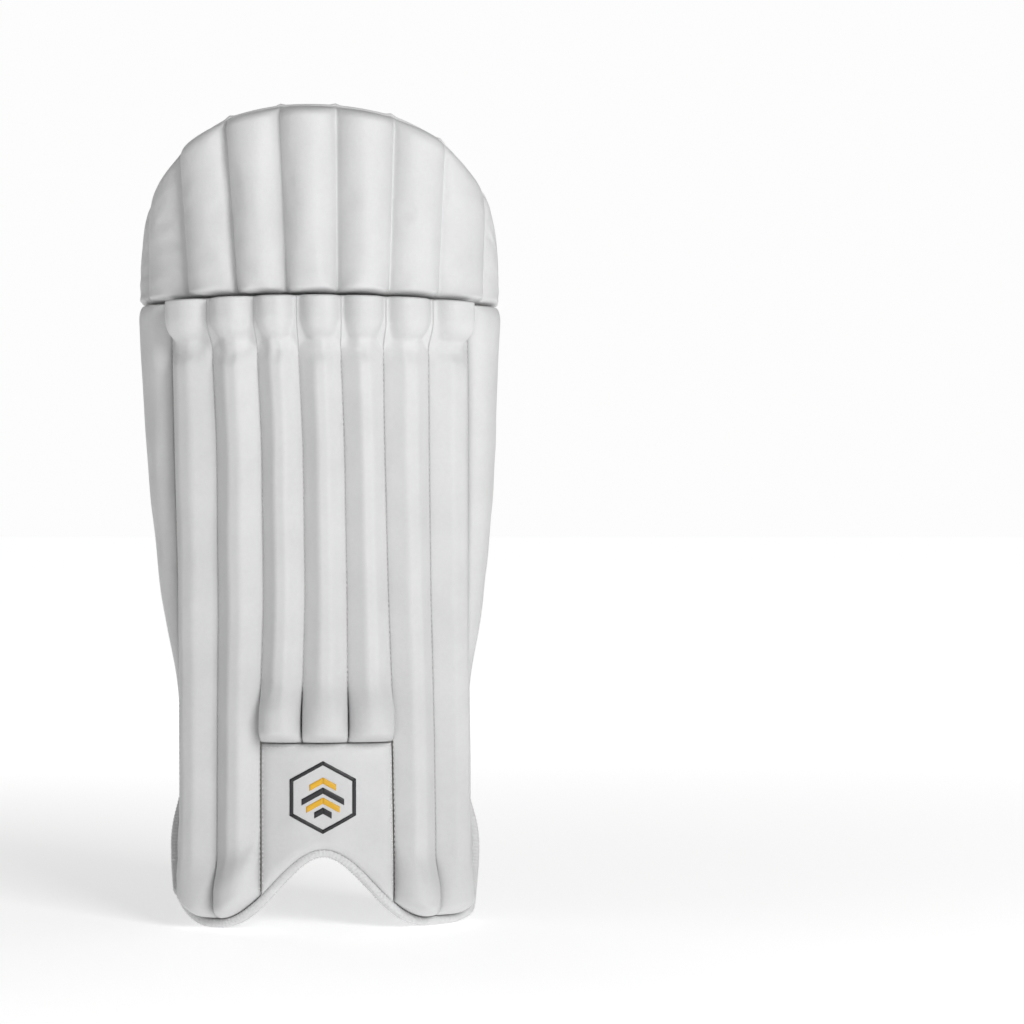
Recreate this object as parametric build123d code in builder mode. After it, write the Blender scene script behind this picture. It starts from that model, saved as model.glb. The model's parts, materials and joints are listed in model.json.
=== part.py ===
"""A wicket keeper's leg pad, built from the separate pieces that it is sewn and stuffed from.

Millimetres, +Z up. The pad stands on its foot binding with its face towards -Y and its wings and
straps towards +Y. The pieces are drawn with y = 0 at the board's face, and save() shifts them so
that the origin is on the floor, at the middle of the pad's outer box.
"""

import os
from math import asin, cos, hypot, pi, radians, sin

from build123d import *

# ---------------------------------------------------------------- driving dimensions
PAD_HEIGHT = 660.0
SEAM_Z = 504.0  # the knee flap is sewn on here
SEAM_GAP = 0.6
CANE_COUNT = 7
CANE_PITCH = 36.5
CANE_TURN = 12.5  # degrees from one cane to the next
CANE_HEIGHT = 20.0
CANE_TOP_HALF = 5.5
CANE_GAP = 0.4  # between neighbouring sleeves
KNEE_ROLL_LENGTH = 38.0
KNEE_ROLL_HEIGHT = 26.0
SHORT_CANE_FOOT_Z = 150.0
LONG_CANE_FOOT_Z = 10.0
LEATHER = 1.2
BOARD = 4.0
LINING = 1.2
ROD_RADIUS = 5.5
ROD_OFFSET = 9.0  # from the board's face to the rod's centre
ROD_SHORT_OF_FOOT = 42.0
SHORT_ROD_SHORT_OF_FOOT = 8.0

ARCH_HEIGHT = 58.0  # from the floor to the underside of the binding
ARCH_HALF_WIDTH = 82.0
FOOT_FLAT_HALF = 97.0  # the foot edge is flat on the floor from the arch out to here
# Then it rises: x, height, and how far each point leans in and lifts for every mm of inset.
FOOT_RISE = ((111.3, 8.0, 0.5, 0.86), (116.5, 15.0, 0.6, 0.8), (126.0, 34.0, 0.8, 0.6))
BINDING = 7.5  # seen width of the edge binding
BINDING_OUT = 2.5  # how far it stands in front of the board's face
BINDING_IN = 7.0
BINDING_GAP = 0.5

INSTEP_FOAM = 8.0
INSTEP_LEATHER = 1.5
BADGE_Z = 106.0
BADGE_RADIUS = 17.5
BADGE = 0.4

FLAP_PITCH = 41.5
FLAP_ANGLES = (0.0, 14.0, 28.0, 44.0, 66.0)  # of each channel, from the middle outwards
FLAP_HEIGHTS = (25.0, 25.0, 24.0, 21.0, 15.0)
FLAP_HALF_WIDTH = 148.5
FLAP_SQUARENESS = 2.5  # exponent of the dome's superellipse
FLAP_STRAIGHT = 20.0  # from the seam to where the dome begins
FLAP_EDGE = 4.0  # how thick a channel is at its seams
FLAP_BOARD = 3.0

STRAP_WIDTH = 38.0
STRAP_THICKNESS = 2.4
UPPER_STRAP_Z = 400.0
LOWER_STRAP_Z = 166.0
STRAP_BOW = 34.0  # how far the strap bows out behind the wings
ELASTIC_SHARE = 0.3
TAB_LENGTH = 42.0
HOOK_PAD = 1.2
PATCH = 1.4
PATCH_LENGTH = 30.0
PATCH_NEAR = 4.0  # from the wing's rear edge
KNUCKLE_RADIUS = 2.0
KNUCKLE_BEHIND = 4.6  # from the wing's rear edge to the axis that a strap turns on
KNUCKLE_OUT = 1.0
TURN_GAP = 0.5

BOLSTER_LOW_Z, BOLSTER_HIGH_Z = 96.0, 418.0
BOLSTER_WIDTH, BOLSTER_DEPTH = 30.0, 20.0
CUSHION_HEIGHT = 36.0
CUSHION_STEP = 39.0
CUSHION_DEPTH = 15.0

# Each row is a height, then the wing's two facets as (angle in degrees, length), then how far the
# wing stands out of and into the board's face line.
WING_SECTIONS = (
    (0.0, (78, 22), (90, 30), 2.0, 7.0),
    (60.0, (72, 22), (88, 30), 2.0, 7.0),
    (150.0, (93, 22), (98, 32), 3.0, 9.0),
    (190.0, (95, 22), (100, 34), 4.0, 12.0),
    (263.0, (75, 26), (97, 38), 8.0, 13.0),
    (350.0, (60, 30), (94, 40), 9.0, 14.0),
    (504.0, (48, 34), (90, 40), 9.0, 14.0),
)
WING_LEATHER = 1.4
WING_FOAM_LOW_Z, WING_FOAM_HIGH_Z = 158.0, SEAM_Z - 2.5
# The foot edge goes on rising along the wing: depth, height, lean and lift for inset, as above.
ANKLE_RISE = ((36.0, 5.0, 0.4, 0.9), (46.0, 13.5, 0.5, 0.86), (63.0, 30.0, 0.66, 0.75))
ANKLE_REAR = 92.0
ANKLE_CORNER_Z = 76.0
ANKLE_BINDING_TOP_Z = 120.0

SIDES = (("left", -1), ("right", 1))
BEYOND = 300.0  # longer than any cut through the pad

os.makedirs("parts", exist_ok=True)


# ---------------------------------------------------------------- the pad's plan shape
def walk(start, steps):
    """Points reached from start by steps of (angle in degrees, length)."""
    points = [start]
    for angle, length in steps:
        x, y = points[-1]
        points.append((x + length * cos(radians(angle)), y + length * sin(radians(angle))))
    return points


def mirrored_line(right):
    """An open line that is its own mirror image, from its right half."""
    return [(-x, y) for x, y in reversed(right)] + list(right)


def offset_points(line, out):
    """The line moved out, towards the pad's face, by the same distance at every edge."""
    normals = []
    for (x0, y0), (x1, y1) in zip(line, line[1:]):
        length = hypot(x1 - x0, y1 - y0)
        normals.append(((y1 - y0) / length, -(x1 - x0) / length))
    joined = [normals[0], *normals, normals[-1]]
    moved = []
    for (x, y), (ax, ay), (bx, by) in zip(line, joined, joined[1:]):
        share = out / (1 + ax * bx + ay * by)
        moved.append((x + (ax + bx) * share, y + (ay + by) * share))
    return moved


def facet_plane(line, index, z):
    """A plane on one facet at height z: x along the facet, y into the pad."""
    (x0, y0), (x1, y1) = line[index], line[index + 1]
    return Plane(
        origin=((x0 + x1) / 2, (y0 + y1) / 2, z), x_dir=(x1 - x0, y1 - y0, 0), z_dir=(0, 0, 1)
    )


board_turns = [index * CANE_TURN for index in range(1, CANE_COUNT // 2 + 1)]
face_line = mirrored_line(walk((CANE_PITCH / 2, 0), [(turn, CANE_PITCH) for turn in board_turns]))
instep_line = face_line[2:6]
flap_line = mirrored_line(walk((FLAP_PITCH / 2, 0), [(a, FLAP_PITCH) for a in FLAP_ANGLES[1:]]))


def wing_section(row, inset):
    """The right wing's closed outline at one row of WING_SECTIONS."""
    _, first, (rear_angle, rear_length), out, inside = row
    line = walk(face_line[-1], [first, (rear_angle, rear_length - inset)])
    outer = offset_points(line, out - inset)
    inner = offset_points(line, inset - inside)
    # The wing meets the board's end flat, on a plane square to the board's last facet.
    turn = radians(board_turns[-1])
    (x, y), along, across = line[0], (cos(turn), sin(turn)), (sin(turn), -cos(turn))
    for edge, reach in ((outer, out - inset), (inner, inset - inside)):
        edge[0] = (
            x + across[0] * reach + along[0] * inset,
            y + across[1] * reach + along[1] * inset,
        )
    return outer + inner[::-1]


def wing_section_at(z, inset=0.0):
    """The right wing's outline at any height, straight between the rows above and below."""
    low = max(row for row in WING_SECTIONS if row[0] <= z)
    high = min(row for row in WING_SECTIONS if row[0] >= z)
    share = 0.0 if high is low else (z - low[0]) / (high[0] - low[0])
    pairs = zip(wing_section(low, inset), wing_section(high, inset))
    return [(p[0] + (q[0] - p[0]) * share, p[1] + (q[1] - p[1]) * share) for p, q in pairs]


def strap_seat(z):
    """The flat outside of the right wing's rear facet, where a strap at height z lies.

    Returns its rear end, the unit vector forward along it and the unit vector out of it.
    """
    _, corner, rear, *_ = wing_section_at(z)
    length = hypot(corner[0] - rear[0], corner[1] - rear[1])
    forward = ((corner[0] - rear[0]) / length, (corner[1] - rear[1]) / length)
    out = (-forward[1], forward[0])
    heights = (z - STRAP_WIDTH / 2, z, z + STRAP_WIDTH / 2)
    points = [point for height in heights for point in wing_section_at(height)[1:3]]
    clear = max((px - rear[0]) * out[0] + (py - rear[1]) * out[1] for px, py in points)
    return (rear[0] + out[0] * clear, rear[1] + out[1] * clear), forward, out


def strap_axis(z):
    """Where the upright axis of a strap at height z stands, beside the right wing's rear edge."""
    (x, y), forward, out = strap_seat(z)
    return (
        x + out[0] * KNUCKLE_OUT - forward[0] * KNUCKLE_BEHIND,
        y + out[1] * KNUCKLE_OUT - forward[1] * KNUCKLE_BEHIND,
    )


pad_front = -KNEE_ROLL_HEIGHT
pad_rear = strap_axis(UPPER_STRAP_Z)[1] + STRAP_BOW + STRAP_THICKNESS / 2
FACE_Y = -(pad_front + pad_rear) / 2


def save(piece, name):
    """Shifts a finished piece into the pad's frame, labels it and writes its STEP."""
    part = piece.part.moved(Location((0, FACE_Y, 0)))
    part.label = name
    export_step(part, f"parts/{name}.step")


# ---------------------------------------------------------------- outlines seen square on
def foot_outline(inset):
    """All that is above the pad's arched and rounded foot edge, seen from the front.

    The edge is moved into the pad by inset.
    """
    top, side = SEAM_Z + 60, 200
    with BuildSketch(Plane.XZ) as outline:
        with BuildLine():
            arch = Spline(
                (-ARCH_HALF_WIDTH + inset / 4, inset),
                (0, ARCH_HEIGHT + inset),
                (ARCH_HALF_WIDTH - inset / 4, inset),
                tangents=((1, 0), (1, 0)),
                tangent_scalars=(0.9, 0.9),
            )
            right = [(x - lean * inset, z + lift * inset) for x, z, lean, lift in FOOT_RISE]
            left = [(-x, z) for x, z in reversed(right)]
            Spline((FOOT_FLAT_HALF, inset), *right, tangents=((1, 0), (0.4, 1)))
            Spline(*left, (-FOOT_FLAT_HALF, inset), tangents=((0.4, -1), (1, 0)))
            Line(arch @ 1, (FOOT_FLAT_HALF, inset))
            Line((-FOOT_FLAT_HALF, inset), arch @ 0)
            Polyline(right[-1], (side, 80), (side, top), (-side, top), (-side, 80), left[0])
        make_face()
    return outline.sketch


def dome_outline(inset):
    """The knee flap's dome, moved in by inset, seen from the front."""
    half, base_z = FLAP_HALF_WIDTH - inset, SEAM_Z + FLAP_STRAIGHT
    rise = PAD_HEIGHT - inset - base_z
    turns = [step * pi / 12 for step in range(1, 6)]
    right = [
        (half * cos(t) ** (2 / FLAP_SQUARENESS), base_z + rise * sin(t) ** (2 / FLAP_SQUARENESS))
        for t in turns
    ]
    left = [(-x, z) for x, z in reversed(right)]
    low_z = SEAM_Z - FLAP_STRAIGHT
    with BuildSketch(Plane.XZ) as outline:
        with BuildLine():
            dome = Spline(
                (half, base_z),
                *right,
                (0, PAD_HEIGHT - inset),
                *left,
                (-half, base_z),
                tangents=((0, 1), (0, -1)),
            )
            Polyline(dome @ 1, (-half, low_z), (half, low_z), dome @ 0)
        make_face()
    return outline.sketch


def ankle_outline(inset):
    """All that is in front of the wings' rounded foot corner, moved in by inset, from the side."""
    rear, far, top = ANKLE_REAR - inset, ANKLE_REAR + 60, SEAM_Z + 20
    with BuildSketch(Plane.YZ) as outline:
        with BuildLine():
            corner = Spline(
                *[(y - lean * inset, z + lift * inset) for y, z, lean, lift in ANKLE_RISE],
                (rear, ANKLE_CORNER_Z),
                tangents=((1, 0.7), (0.1, 1)),
            )
            Polyline(
                corner @ 1,
                (rear, ANKLE_BINDING_TOP_Z),
                (far, ANKLE_BINDING_TOP_Z + 60),
                (far, top),
                (0, top),
                (0, 0),
                corner @ 0,
            )
        make_face()
    return outline.sketch


# ---------------------------------------------------------------- board, lining and instep
def banded(line, out, inside, high, outline, cut=None):
    """A band of even thickness along a line, trimmed to an outline seen from the front."""
    with BuildPart() as piece:
        with BuildSketch():
            with BuildLine():
                Polyline(*offset_points(line, out), *offset_points(line, -inside)[::-1], close=True)
            make_face()
        extrude(amount=high)
        extrude(outline, amount=BEYOND, both=True, mode=Mode.INTERSECT)
        if cut is not None:
            extrude(cut, amount=BEYOND, both=True, mode=Mode.SUBTRACT)
    return piece


board_edge = foot_outline(BINDING)
board_top = SEAM_Z - 1
save(banded(face_line, 0, BOARD, board_top, board_edge), "backing_board")
save(banded(face_line, -BOARD, BOARD + LINING, board_top, board_edge), "shin_lining")

binding_top = ARCH_HEIGHT + BINDING + 10
foot_edge = foot_outline(0)
save(
    banded(face_line, BINDING_OUT, BINDING_IN, binding_top, foot_edge, board_edge),
    "instep_binding",
)

panel_top = SHORT_CANE_FOOT_Z - 1
save(banded(instep_line, INSTEP_FOAM, 0, panel_top, board_edge), "instep_foam")
save(
    banded(instep_line, INSTEP_FOAM + INSTEP_LEATHER, -INSTEP_FOAM, panel_top, board_edge),
    "instep_panel",
)

with BuildPart() as badge:
    with BuildSketch(Plane.XZ.offset(INSTEP_FOAM + INSTEP_LEATHER)):
        with Locations((0, BADGE_Z)):
            RegularPolygon(radius=BADGE_RADIUS, side_count=6, rotation=30)
    extrude(amount=BADGE)
save(badge, "instep_badge")


# ---------------------------------------------------------------- canes and knee rolls
def cane_profile(inset):
    """Half a hexagon with soft corners, on its back at y = 0, moved in by inset."""
    half = (CANE_PITCH - CANE_GAP) / 2 - inset
    height = CANE_HEIGHT - inset
    shoulder = CANE_HEIGHT * 0.35
    with BuildSketch() as profile:
        with BuildLine():
            Polyline(
                (-half, -inset),
                (-half + 0.4, -shoulder),
                (-CANE_TOP_HALF - inset * 0.2, -height),
                (CANE_TOP_HALF + inset * 0.2, -height),
                (half - 0.4, -shoulder),
                (half, -inset),
                close=True,
            )
        make_face()
        crown = profile.vertices().filter_by_position(Axis.Y, -height - 0.1, -shoulder + 0.1)
        fillet(crown, radius=3.0)
    return profile.sketch


def cane_column(index, low, inset):
    """A solid cane from its foot to the knee roll, moved in by inset at its sides and foot."""
    with BuildPart() as column:
        with BuildSketch(facet_plane(face_line, index, low + inset)):
            add(cane_profile(inset))
        extrude(amount=SEAM_Z - KNEE_ROLL_LENGTH - low - inset)
        if low < ARCH_HEIGHT:
            above_foot = foot_outline(BINDING + BINDING_GAP + inset)
            extrude(above_foot, amount=BEYOND, both=True, mode=Mode.INTERSECT)
    return column


def cane_rod(index, low):
    """The split cane itself, a round rod that stops short of the foot."""
    with BuildPart() as rod:
        with BuildSketch(facet_plane(face_line, index, low)):
            with Locations((0, -ROD_OFFSET)):
                Circle(ROD_RADIUS)
        extrude(amount=SEAM_Z - KNEE_ROLL_LENGTH - low)
    return rod


def hollowed(solid, core):
    """A solid less its core."""
    with BuildPart() as shell:
        add(solid.part)
        add(core.part, mode=Mode.SUBTRACT)
    return shell


def knee_roll(index):
    """The stuffed roll at the head of a cane, rounded all over its face."""
    half = (CANE_PITCH - CANE_GAP) / 2
    with BuildPart() as roll:
        with BuildSketch(facet_plane(face_line, index, SEAM_Z - KNEE_ROLL_LENGTH)):
            with BuildLine():
                front = Spline(
                    (-half, 0),
                    (0, -KNEE_ROLL_HEIGHT),
                    (half, 0),
                    tangents=((0, -1), (0, 1)),
                    tangent_scalars=(1.6, 1.6),
                )
                Line(front @ 1, front @ 0)
            make_face()
        extrude(amount=KNEE_ROLL_LENGTH - 1)
        rim = roll.faces().sort_by(Axis.Z)[0].edges().filter_by(GeomType.LINE, reverse=True)
        fillet(rim, radius=7.0)
    return roll


for index in range(CANE_COUNT):
    reaches_panel = abs(index - CANE_COUNT // 2) <= 1
    foot_z = SHORT_CANE_FOOT_Z if reaches_panel else LONG_CANE_FOOT_Z
    rod_z = foot_z + (SHORT_ROD_SHORT_OF_FOOT if reaches_panel else ROD_SHORT_OF_FOOT)
    core = cane_column(index, foot_z, LEATHER)
    rod = cane_rod(index, rod_z)
    save(hollowed(cane_column(index, foot_z, 0), core), f"cane_sleeve_{index + 1}")
    save(hollowed(core, rod), f"cane_foam_{index + 1}")
    save(rod, f"cane_rod_{index + 1}")
    save(knee_roll(index), f"knee_roll_{index + 1}")


# ---------------------------------------------------------------- wings
def wing_loft(side, low, high, inset=0.0):
    """The wing between two heights, straight from each row of WING_SECTIONS to the next."""
    heights = [low, *(row[0] for row in WING_SECTIONS if low < row[0] < high), high]
    with BuildPart() as wing:
        for z in heights:
            with BuildSketch(Plane.XY.offset(z)):
                with BuildLine():
                    Polyline(*[(side * x, y) for x, y in wing_section_at(z, inset)], close=True)
                make_face()
        loft(ruled=True)
    return wing


def wing_cover(side, foam):
    """The wing's leather, with a pocket for its foam and a thin ankle flap below."""
    with BuildPart() as cover:
        add(wing_loft(side, 0, SEAM_Z - SEAM_GAP).part)
        extrude(ankle_outline(BINDING), amount=BEYOND, both=True, mode=Mode.INTERSECT)
        add(foam.part, mode=Mode.SUBTRACT)
    return cover


def ankle_binding(side):
    """The edge binding round the wing's foot corner and up its rear edge."""
    with BuildPart() as binding:
        add(wing_loft(side, 0, ANKLE_BINDING_TOP_Z).part)
        extrude(ankle_outline(0), amount=BEYOND, both=True, mode=Mode.INTERSECT)
        extrude(ankle_outline(BINDING), amount=BEYOND, both=True, mode=Mode.SUBTRACT)
    return binding


for word, side in SIDES:
    foam = wing_loft(side, WING_FOAM_LOW_Z, WING_FOAM_HIGH_Z, WING_LEATHER)
    save(foam, f"wing_foam_{word}")
    save(wing_cover(side, foam), f"wing_cover_{word}")
    save(ankle_binding(side), f"ankle_binding_{word}")


# ---------------------------------------------------------------- cushions inside
def shin_bolster(index):
    """A long soft bolster that stands the board off the shin."""
    with BuildPart() as bolster:
        with BuildSketch(facet_plane(face_line, index, BOLSTER_LOW_Z)):
            with Locations((0, BOARD + LINING + BOLSTER_DEPTH / 2)):
                Rectangle(BOLSTER_WIDTH, BOLSTER_DEPTH)
        extrude(amount=BOLSTER_HIGH_Z - BOLSTER_LOW_Z)
        fillet(bolster.faces().sort_by(Axis.Y)[-1].edges(), radius=8.0)
    return bolster


def knee_cushion(low):
    """A cushion across the inside of the pad, which seats the knee."""
    inner = offset_points(face_line, -(BOARD + LINING))
    (x0, y0), (x1, y1) = inner[4], inner[5]
    end = (x0 + (x1 - x0) * 0.86, y0 + (y1 - y0) * 0.86)
    rear_y = end[1] + CUSHION_DEPTH
    right = [inner[4], end, (end[0], rear_y)]
    with BuildPart() as cushion:
        with BuildSketch(Plane.XY.offset(low)):
            with BuildLine():
                Polyline(*mirrored_line(right), close=True)
            make_face()
        extrude(amount=CUSHION_HEIGHT)
        fillet(cushion.faces().sort_by(Axis.Y)[-1].edges(), radius=7.0)
    return cushion


save(shin_bolster(1), "shin_bolster_left")
save(shin_bolster(CANE_COUNT - 2), "shin_bolster_right")
save(knee_cushion(SEAM_Z - 2 * CUSHION_STEP), "knee_cushion_lower")
save(knee_cushion(SEAM_Z - CUSHION_STEP), "knee_cushion_upper")


# ---------------------------------------------------------------- knee flap
flap_base_z = SEAM_Z + SEAM_GAP


def flap_sheet(out, inside):
    """A sheet of even thickness across the whole flap."""
    with BuildPart() as sheet:
        with BuildSketch(Plane.XY.offset(flap_base_z)):
            with BuildLine():
                Polyline(
                    *offset_points(flap_line, out),
                    *offset_points(flap_line, -inside)[::-1],
                    close=True,
                )
            make_face()
        extrude(amount=PAD_HEIGHT - flap_base_z)
        extrude(dome_outline(0), amount=BEYOND, both=True, mode=Mode.INTERSECT)
    return sheet


def channel_profile(height, inset):
    """One stuffed channel: a crowned front on a straight back, moved in by inset."""
    half = FLAP_PITCH / 2 - 0.3 - inset
    edge, crown = FLAP_EDGE - inset * 0.6, height - inset
    with BuildSketch() as profile:
        with BuildLine():
            front = ThreePointArc((-half, -edge), (0, -crown), (half, -edge))
            Polyline(front @ 1, (half, -LEATHER), (-half, -LEATHER), front @ 0)
        make_face()
    return profile.sketch


def flap_channels(inset):
    """All the channels side by side, as solid foam moved in by inset."""
    with BuildPart() as channels:
        for index, height in enumerate(FLAP_HEIGHTS[:0:-1] + FLAP_HEIGHTS):
            with BuildSketch(facet_plane(flap_line, index, flap_base_z + inset)):
                add(channel_profile(height, inset))
            extrude(amount=PAD_HEIGHT - flap_base_z)
        extrude(dome_outline(inset), amount=BEYOND, both=True, mode=Mode.INTERSECT)
    return channels


def flap_cover(foam):
    """The flap's leather: one back sheet with a closed tube on it round each channel's foam."""
    with BuildPart() as cover:
        add(flap_sheet(LEATHER, 0).part)
        add(flap_channels(0).part)
        add(foam.part, mode=Mode.SUBTRACT)
    return cover


flap_foam = flap_channels(LEATHER)
save(flap_foam, "flap_foam")
save(flap_cover(flap_foam), "flap_cover")
save(flap_sheet(0, FLAP_BOARD), "flap_board")
save(flap_sheet(-FLAP_BOARD, FLAP_BOARD + LINING), "flap_lining")


# ---------------------------------------------------------------- straps
def on_wing(z, side, near, length, out, thickness):
    """A strap-wide slab along the outside of a wing, from near the rear edge forwards."""
    (x, y), forward, _ = strap_seat(z)
    seat = Plane(
        origin=(side * x, y, z - STRAP_WIDTH / 2),
        x_dir=(side * forward[0], forward[1], 0),
        z_dir=(0, 0, 1),
    )
    with BuildPart() as slab:
        with BuildSketch(seat):
            with Locations((near + length / 2, side * (out + thickness / 2))):
                Rectangle(length, thickness)
        extrude(amount=STRAP_WIDTH)
    return slab


def patch(z, side, length):
    """A flat patch sewn on the outside of a wing, shaped to the wing under it."""
    sunk = 6.0
    with BuildPart() as sewn:
        add(on_wing(z, side, PATCH_NEAR, length, -sunk, sunk + PATCH).part)
        margin = 30
        add(
            wing_loft(side, z - STRAP_WIDTH / 2 - margin, z + STRAP_WIDTH / 2 + margin).part,
            mode=Mode.SUBTRACT,
        )
    return sewn


def strap_band(z, low_share, high_share, side):
    """A stretch of the band that bows behind the wings, with the knuckle at one of its ends."""
    axis_x, axis_y = strap_axis(z)
    radius = (axis_x**2 + STRAP_BOW**2) / (2 * STRAP_BOW)
    centre_y = axis_y + STRAP_BOW - radius
    half_turn = asin(axis_x / radius)

    def at(share, out):
        angle = half_turn * (2 * share - 1)
        return (radius + out) * sin(angle), centre_y + (radius + out) * cos(angle)

    middle, half = (low_share + high_share) / 2, STRAP_THICKNESS / 2
    with BuildPart() as band:
        with BuildSketch(Plane.XY.offset(z - STRAP_WIDTH / 2)):
            with BuildLine():
                outer = ThreePointArc(*[at(share, half) for share in (low_share, middle, high_share)])
                inner = ThreePointArc(*[at(share, -half) for share in (high_share, middle, low_share)])
                Line(outer @ 1, inner @ 0)
                Line(inner @ 1, outer @ 0)
            make_face()
            with Locations((side * axis_x, axis_y)):
                Circle(KNUCKLE_RADIUS)
        extrude(amount=STRAP_WIDTH)
    return band


tab_near = TURN_GAP + KNUCKLE_RADIUS - KNUCKLE_BEHIND
hook_setback = 4.0
hook_out = PATCH + 0.3
for word, z in (("upper", UPPER_STRAP_Z), ("lower", LOWER_STRAP_Z)):
    save(patch(z, -1, PATCH_LENGTH), f"strap_anchor_{word}")
    save(patch(z, 1, PATCH_LENGTH), f"loop_patch_{word}")
    save(strap_band(z, 0, ELASTIC_SHARE, -1), f"{word}_strap_elastic")
    save(strap_band(z, ELASTIC_SHARE, 1, 1), f"{word}_strap_webbing")
    hook_near, hook_length = tab_near + hook_setback, TAB_LENGTH - 2 * hook_setback
    save(on_wing(z, 1, hook_near, hook_length, hook_out, HOOK_PAD), f"{word}_hook_pad")
    tab = on_wing(z, 1, tab_near, TAB_LENGTH, hook_out + HOOK_PAD, STRAP_THICKNESS)
    save(tab, f"{word}_strap_tab")
    axis_x, axis_y = strap_axis(z)
    print(f"{word} strap axis at x {axis_x:.2f}, y {axis_y + FACE_Y:.2f}, z {z}")

print(f"flap axis at y {FACE_Y - KNEE_ROLL_HEIGHT:.2f}, z {SEAM_Z}; the board's face is at y {FACE_Y:.2f}")
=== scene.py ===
"""A wicket keeper's leg pad: white stuffed leather over canes, with its lining and straps.

Sizes are in millimetres until a mesh is made. Depths are measured from the backing board's face
into the pad, and heights stand out of that face.
"""

import json
import logging
import math
from collections.abc import Callable, Sequence
from dataclasses import dataclass, field
from enum import Enum

import bpy
import numpy as np
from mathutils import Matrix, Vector, noise


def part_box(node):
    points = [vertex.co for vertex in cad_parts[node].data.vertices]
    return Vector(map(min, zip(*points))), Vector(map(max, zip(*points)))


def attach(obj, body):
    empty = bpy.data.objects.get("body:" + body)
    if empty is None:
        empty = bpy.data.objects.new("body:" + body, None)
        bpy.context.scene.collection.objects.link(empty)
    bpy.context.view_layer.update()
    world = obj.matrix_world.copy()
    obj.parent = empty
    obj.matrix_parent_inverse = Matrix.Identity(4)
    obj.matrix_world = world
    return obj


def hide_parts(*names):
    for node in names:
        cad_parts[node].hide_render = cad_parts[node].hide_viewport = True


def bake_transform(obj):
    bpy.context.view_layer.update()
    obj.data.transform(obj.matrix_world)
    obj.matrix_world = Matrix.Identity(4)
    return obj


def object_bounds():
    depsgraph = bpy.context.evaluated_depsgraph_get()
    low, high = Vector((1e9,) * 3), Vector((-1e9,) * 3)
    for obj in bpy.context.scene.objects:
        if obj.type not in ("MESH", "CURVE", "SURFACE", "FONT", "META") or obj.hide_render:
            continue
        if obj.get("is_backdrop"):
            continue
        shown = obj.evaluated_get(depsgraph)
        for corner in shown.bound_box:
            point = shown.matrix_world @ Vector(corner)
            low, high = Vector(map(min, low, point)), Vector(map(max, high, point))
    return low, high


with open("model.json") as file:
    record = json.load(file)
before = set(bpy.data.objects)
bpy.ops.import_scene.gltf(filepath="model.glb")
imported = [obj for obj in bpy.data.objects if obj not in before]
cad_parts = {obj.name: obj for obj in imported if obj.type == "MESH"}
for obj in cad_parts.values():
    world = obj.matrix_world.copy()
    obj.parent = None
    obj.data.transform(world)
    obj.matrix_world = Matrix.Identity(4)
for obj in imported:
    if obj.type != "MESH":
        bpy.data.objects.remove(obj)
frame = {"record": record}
CAD_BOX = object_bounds()

MM = 0.001
LOG = logging.getLogger("leg_pad")
Triple = tuple[float, float, float]  # a colour or a place
Pair = tuple[float, float]
Piece = bpy.types.Object


# ---------------------------------------------------------------- shader writing
class Wire:
    """A node socket that takes part in arithmetic."""

    def __init__(self, tree: bpy.types.NodeTree, socket: bpy.types.NodeSocket) -> None:
        """Wraps one output socket of a node tree."""
        self.tree = tree
        self.socket = socket

    def _math(self, operation: str, left: object, right: object) -> "Wire":
        """Adds one Math node.

        Args:
            operation: The Math node's operation.
            left: A Wire or a number.
            right: A Wire or a number.

        Returns:
            The node's output.
        """
        node = self.tree.nodes.new("ShaderNodeMath")
        node.operation = operation
        for slot, value in zip(node.inputs, (left, right)):
            if isinstance(value, Wire):
                self.tree.links.new(value.socket, slot)
            else:
                slot.default_value = float(value)
        return Wire(self.tree, node.outputs[0])

    def __add__(self, other: object) -> "Wire":
        """Sum."""
        return self._math("ADD", self, other)

    __radd__ = __add__

    def __mul__(self, other: object) -> "Wire":
        """Product."""
        return self._math("MULTIPLY", self, other)

    __rmul__ = __mul__

    def __sub__(self, other: object) -> "Wire":
        """Difference."""
        return self._math("SUBTRACT", self, other)

    def __rsub__(self, other: object) -> "Wire":
        """Difference from a number."""
        return self._math("SUBTRACT", other, self)

    def __pow__(self, other: object) -> "Wire":
        """Power."""
        return self._math("POWER", self, other)

    def at_most(self, other: object) -> "Wire":
        """The smaller of two values."""
        return self._math("MINIMUM", self, other)

    def at_least(self, other: object) -> "Wire":
        """The larger of two values."""
        return self._math("MAXIMUM", self, other)

    def wave(self, cycles: float) -> "Wire":
        """A sine of this many cycles per metre, from 0 to 1."""
        return self._math("SINE", self * (2 * math.pi * cycles), 0) * 0.5 + 0.5


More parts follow.
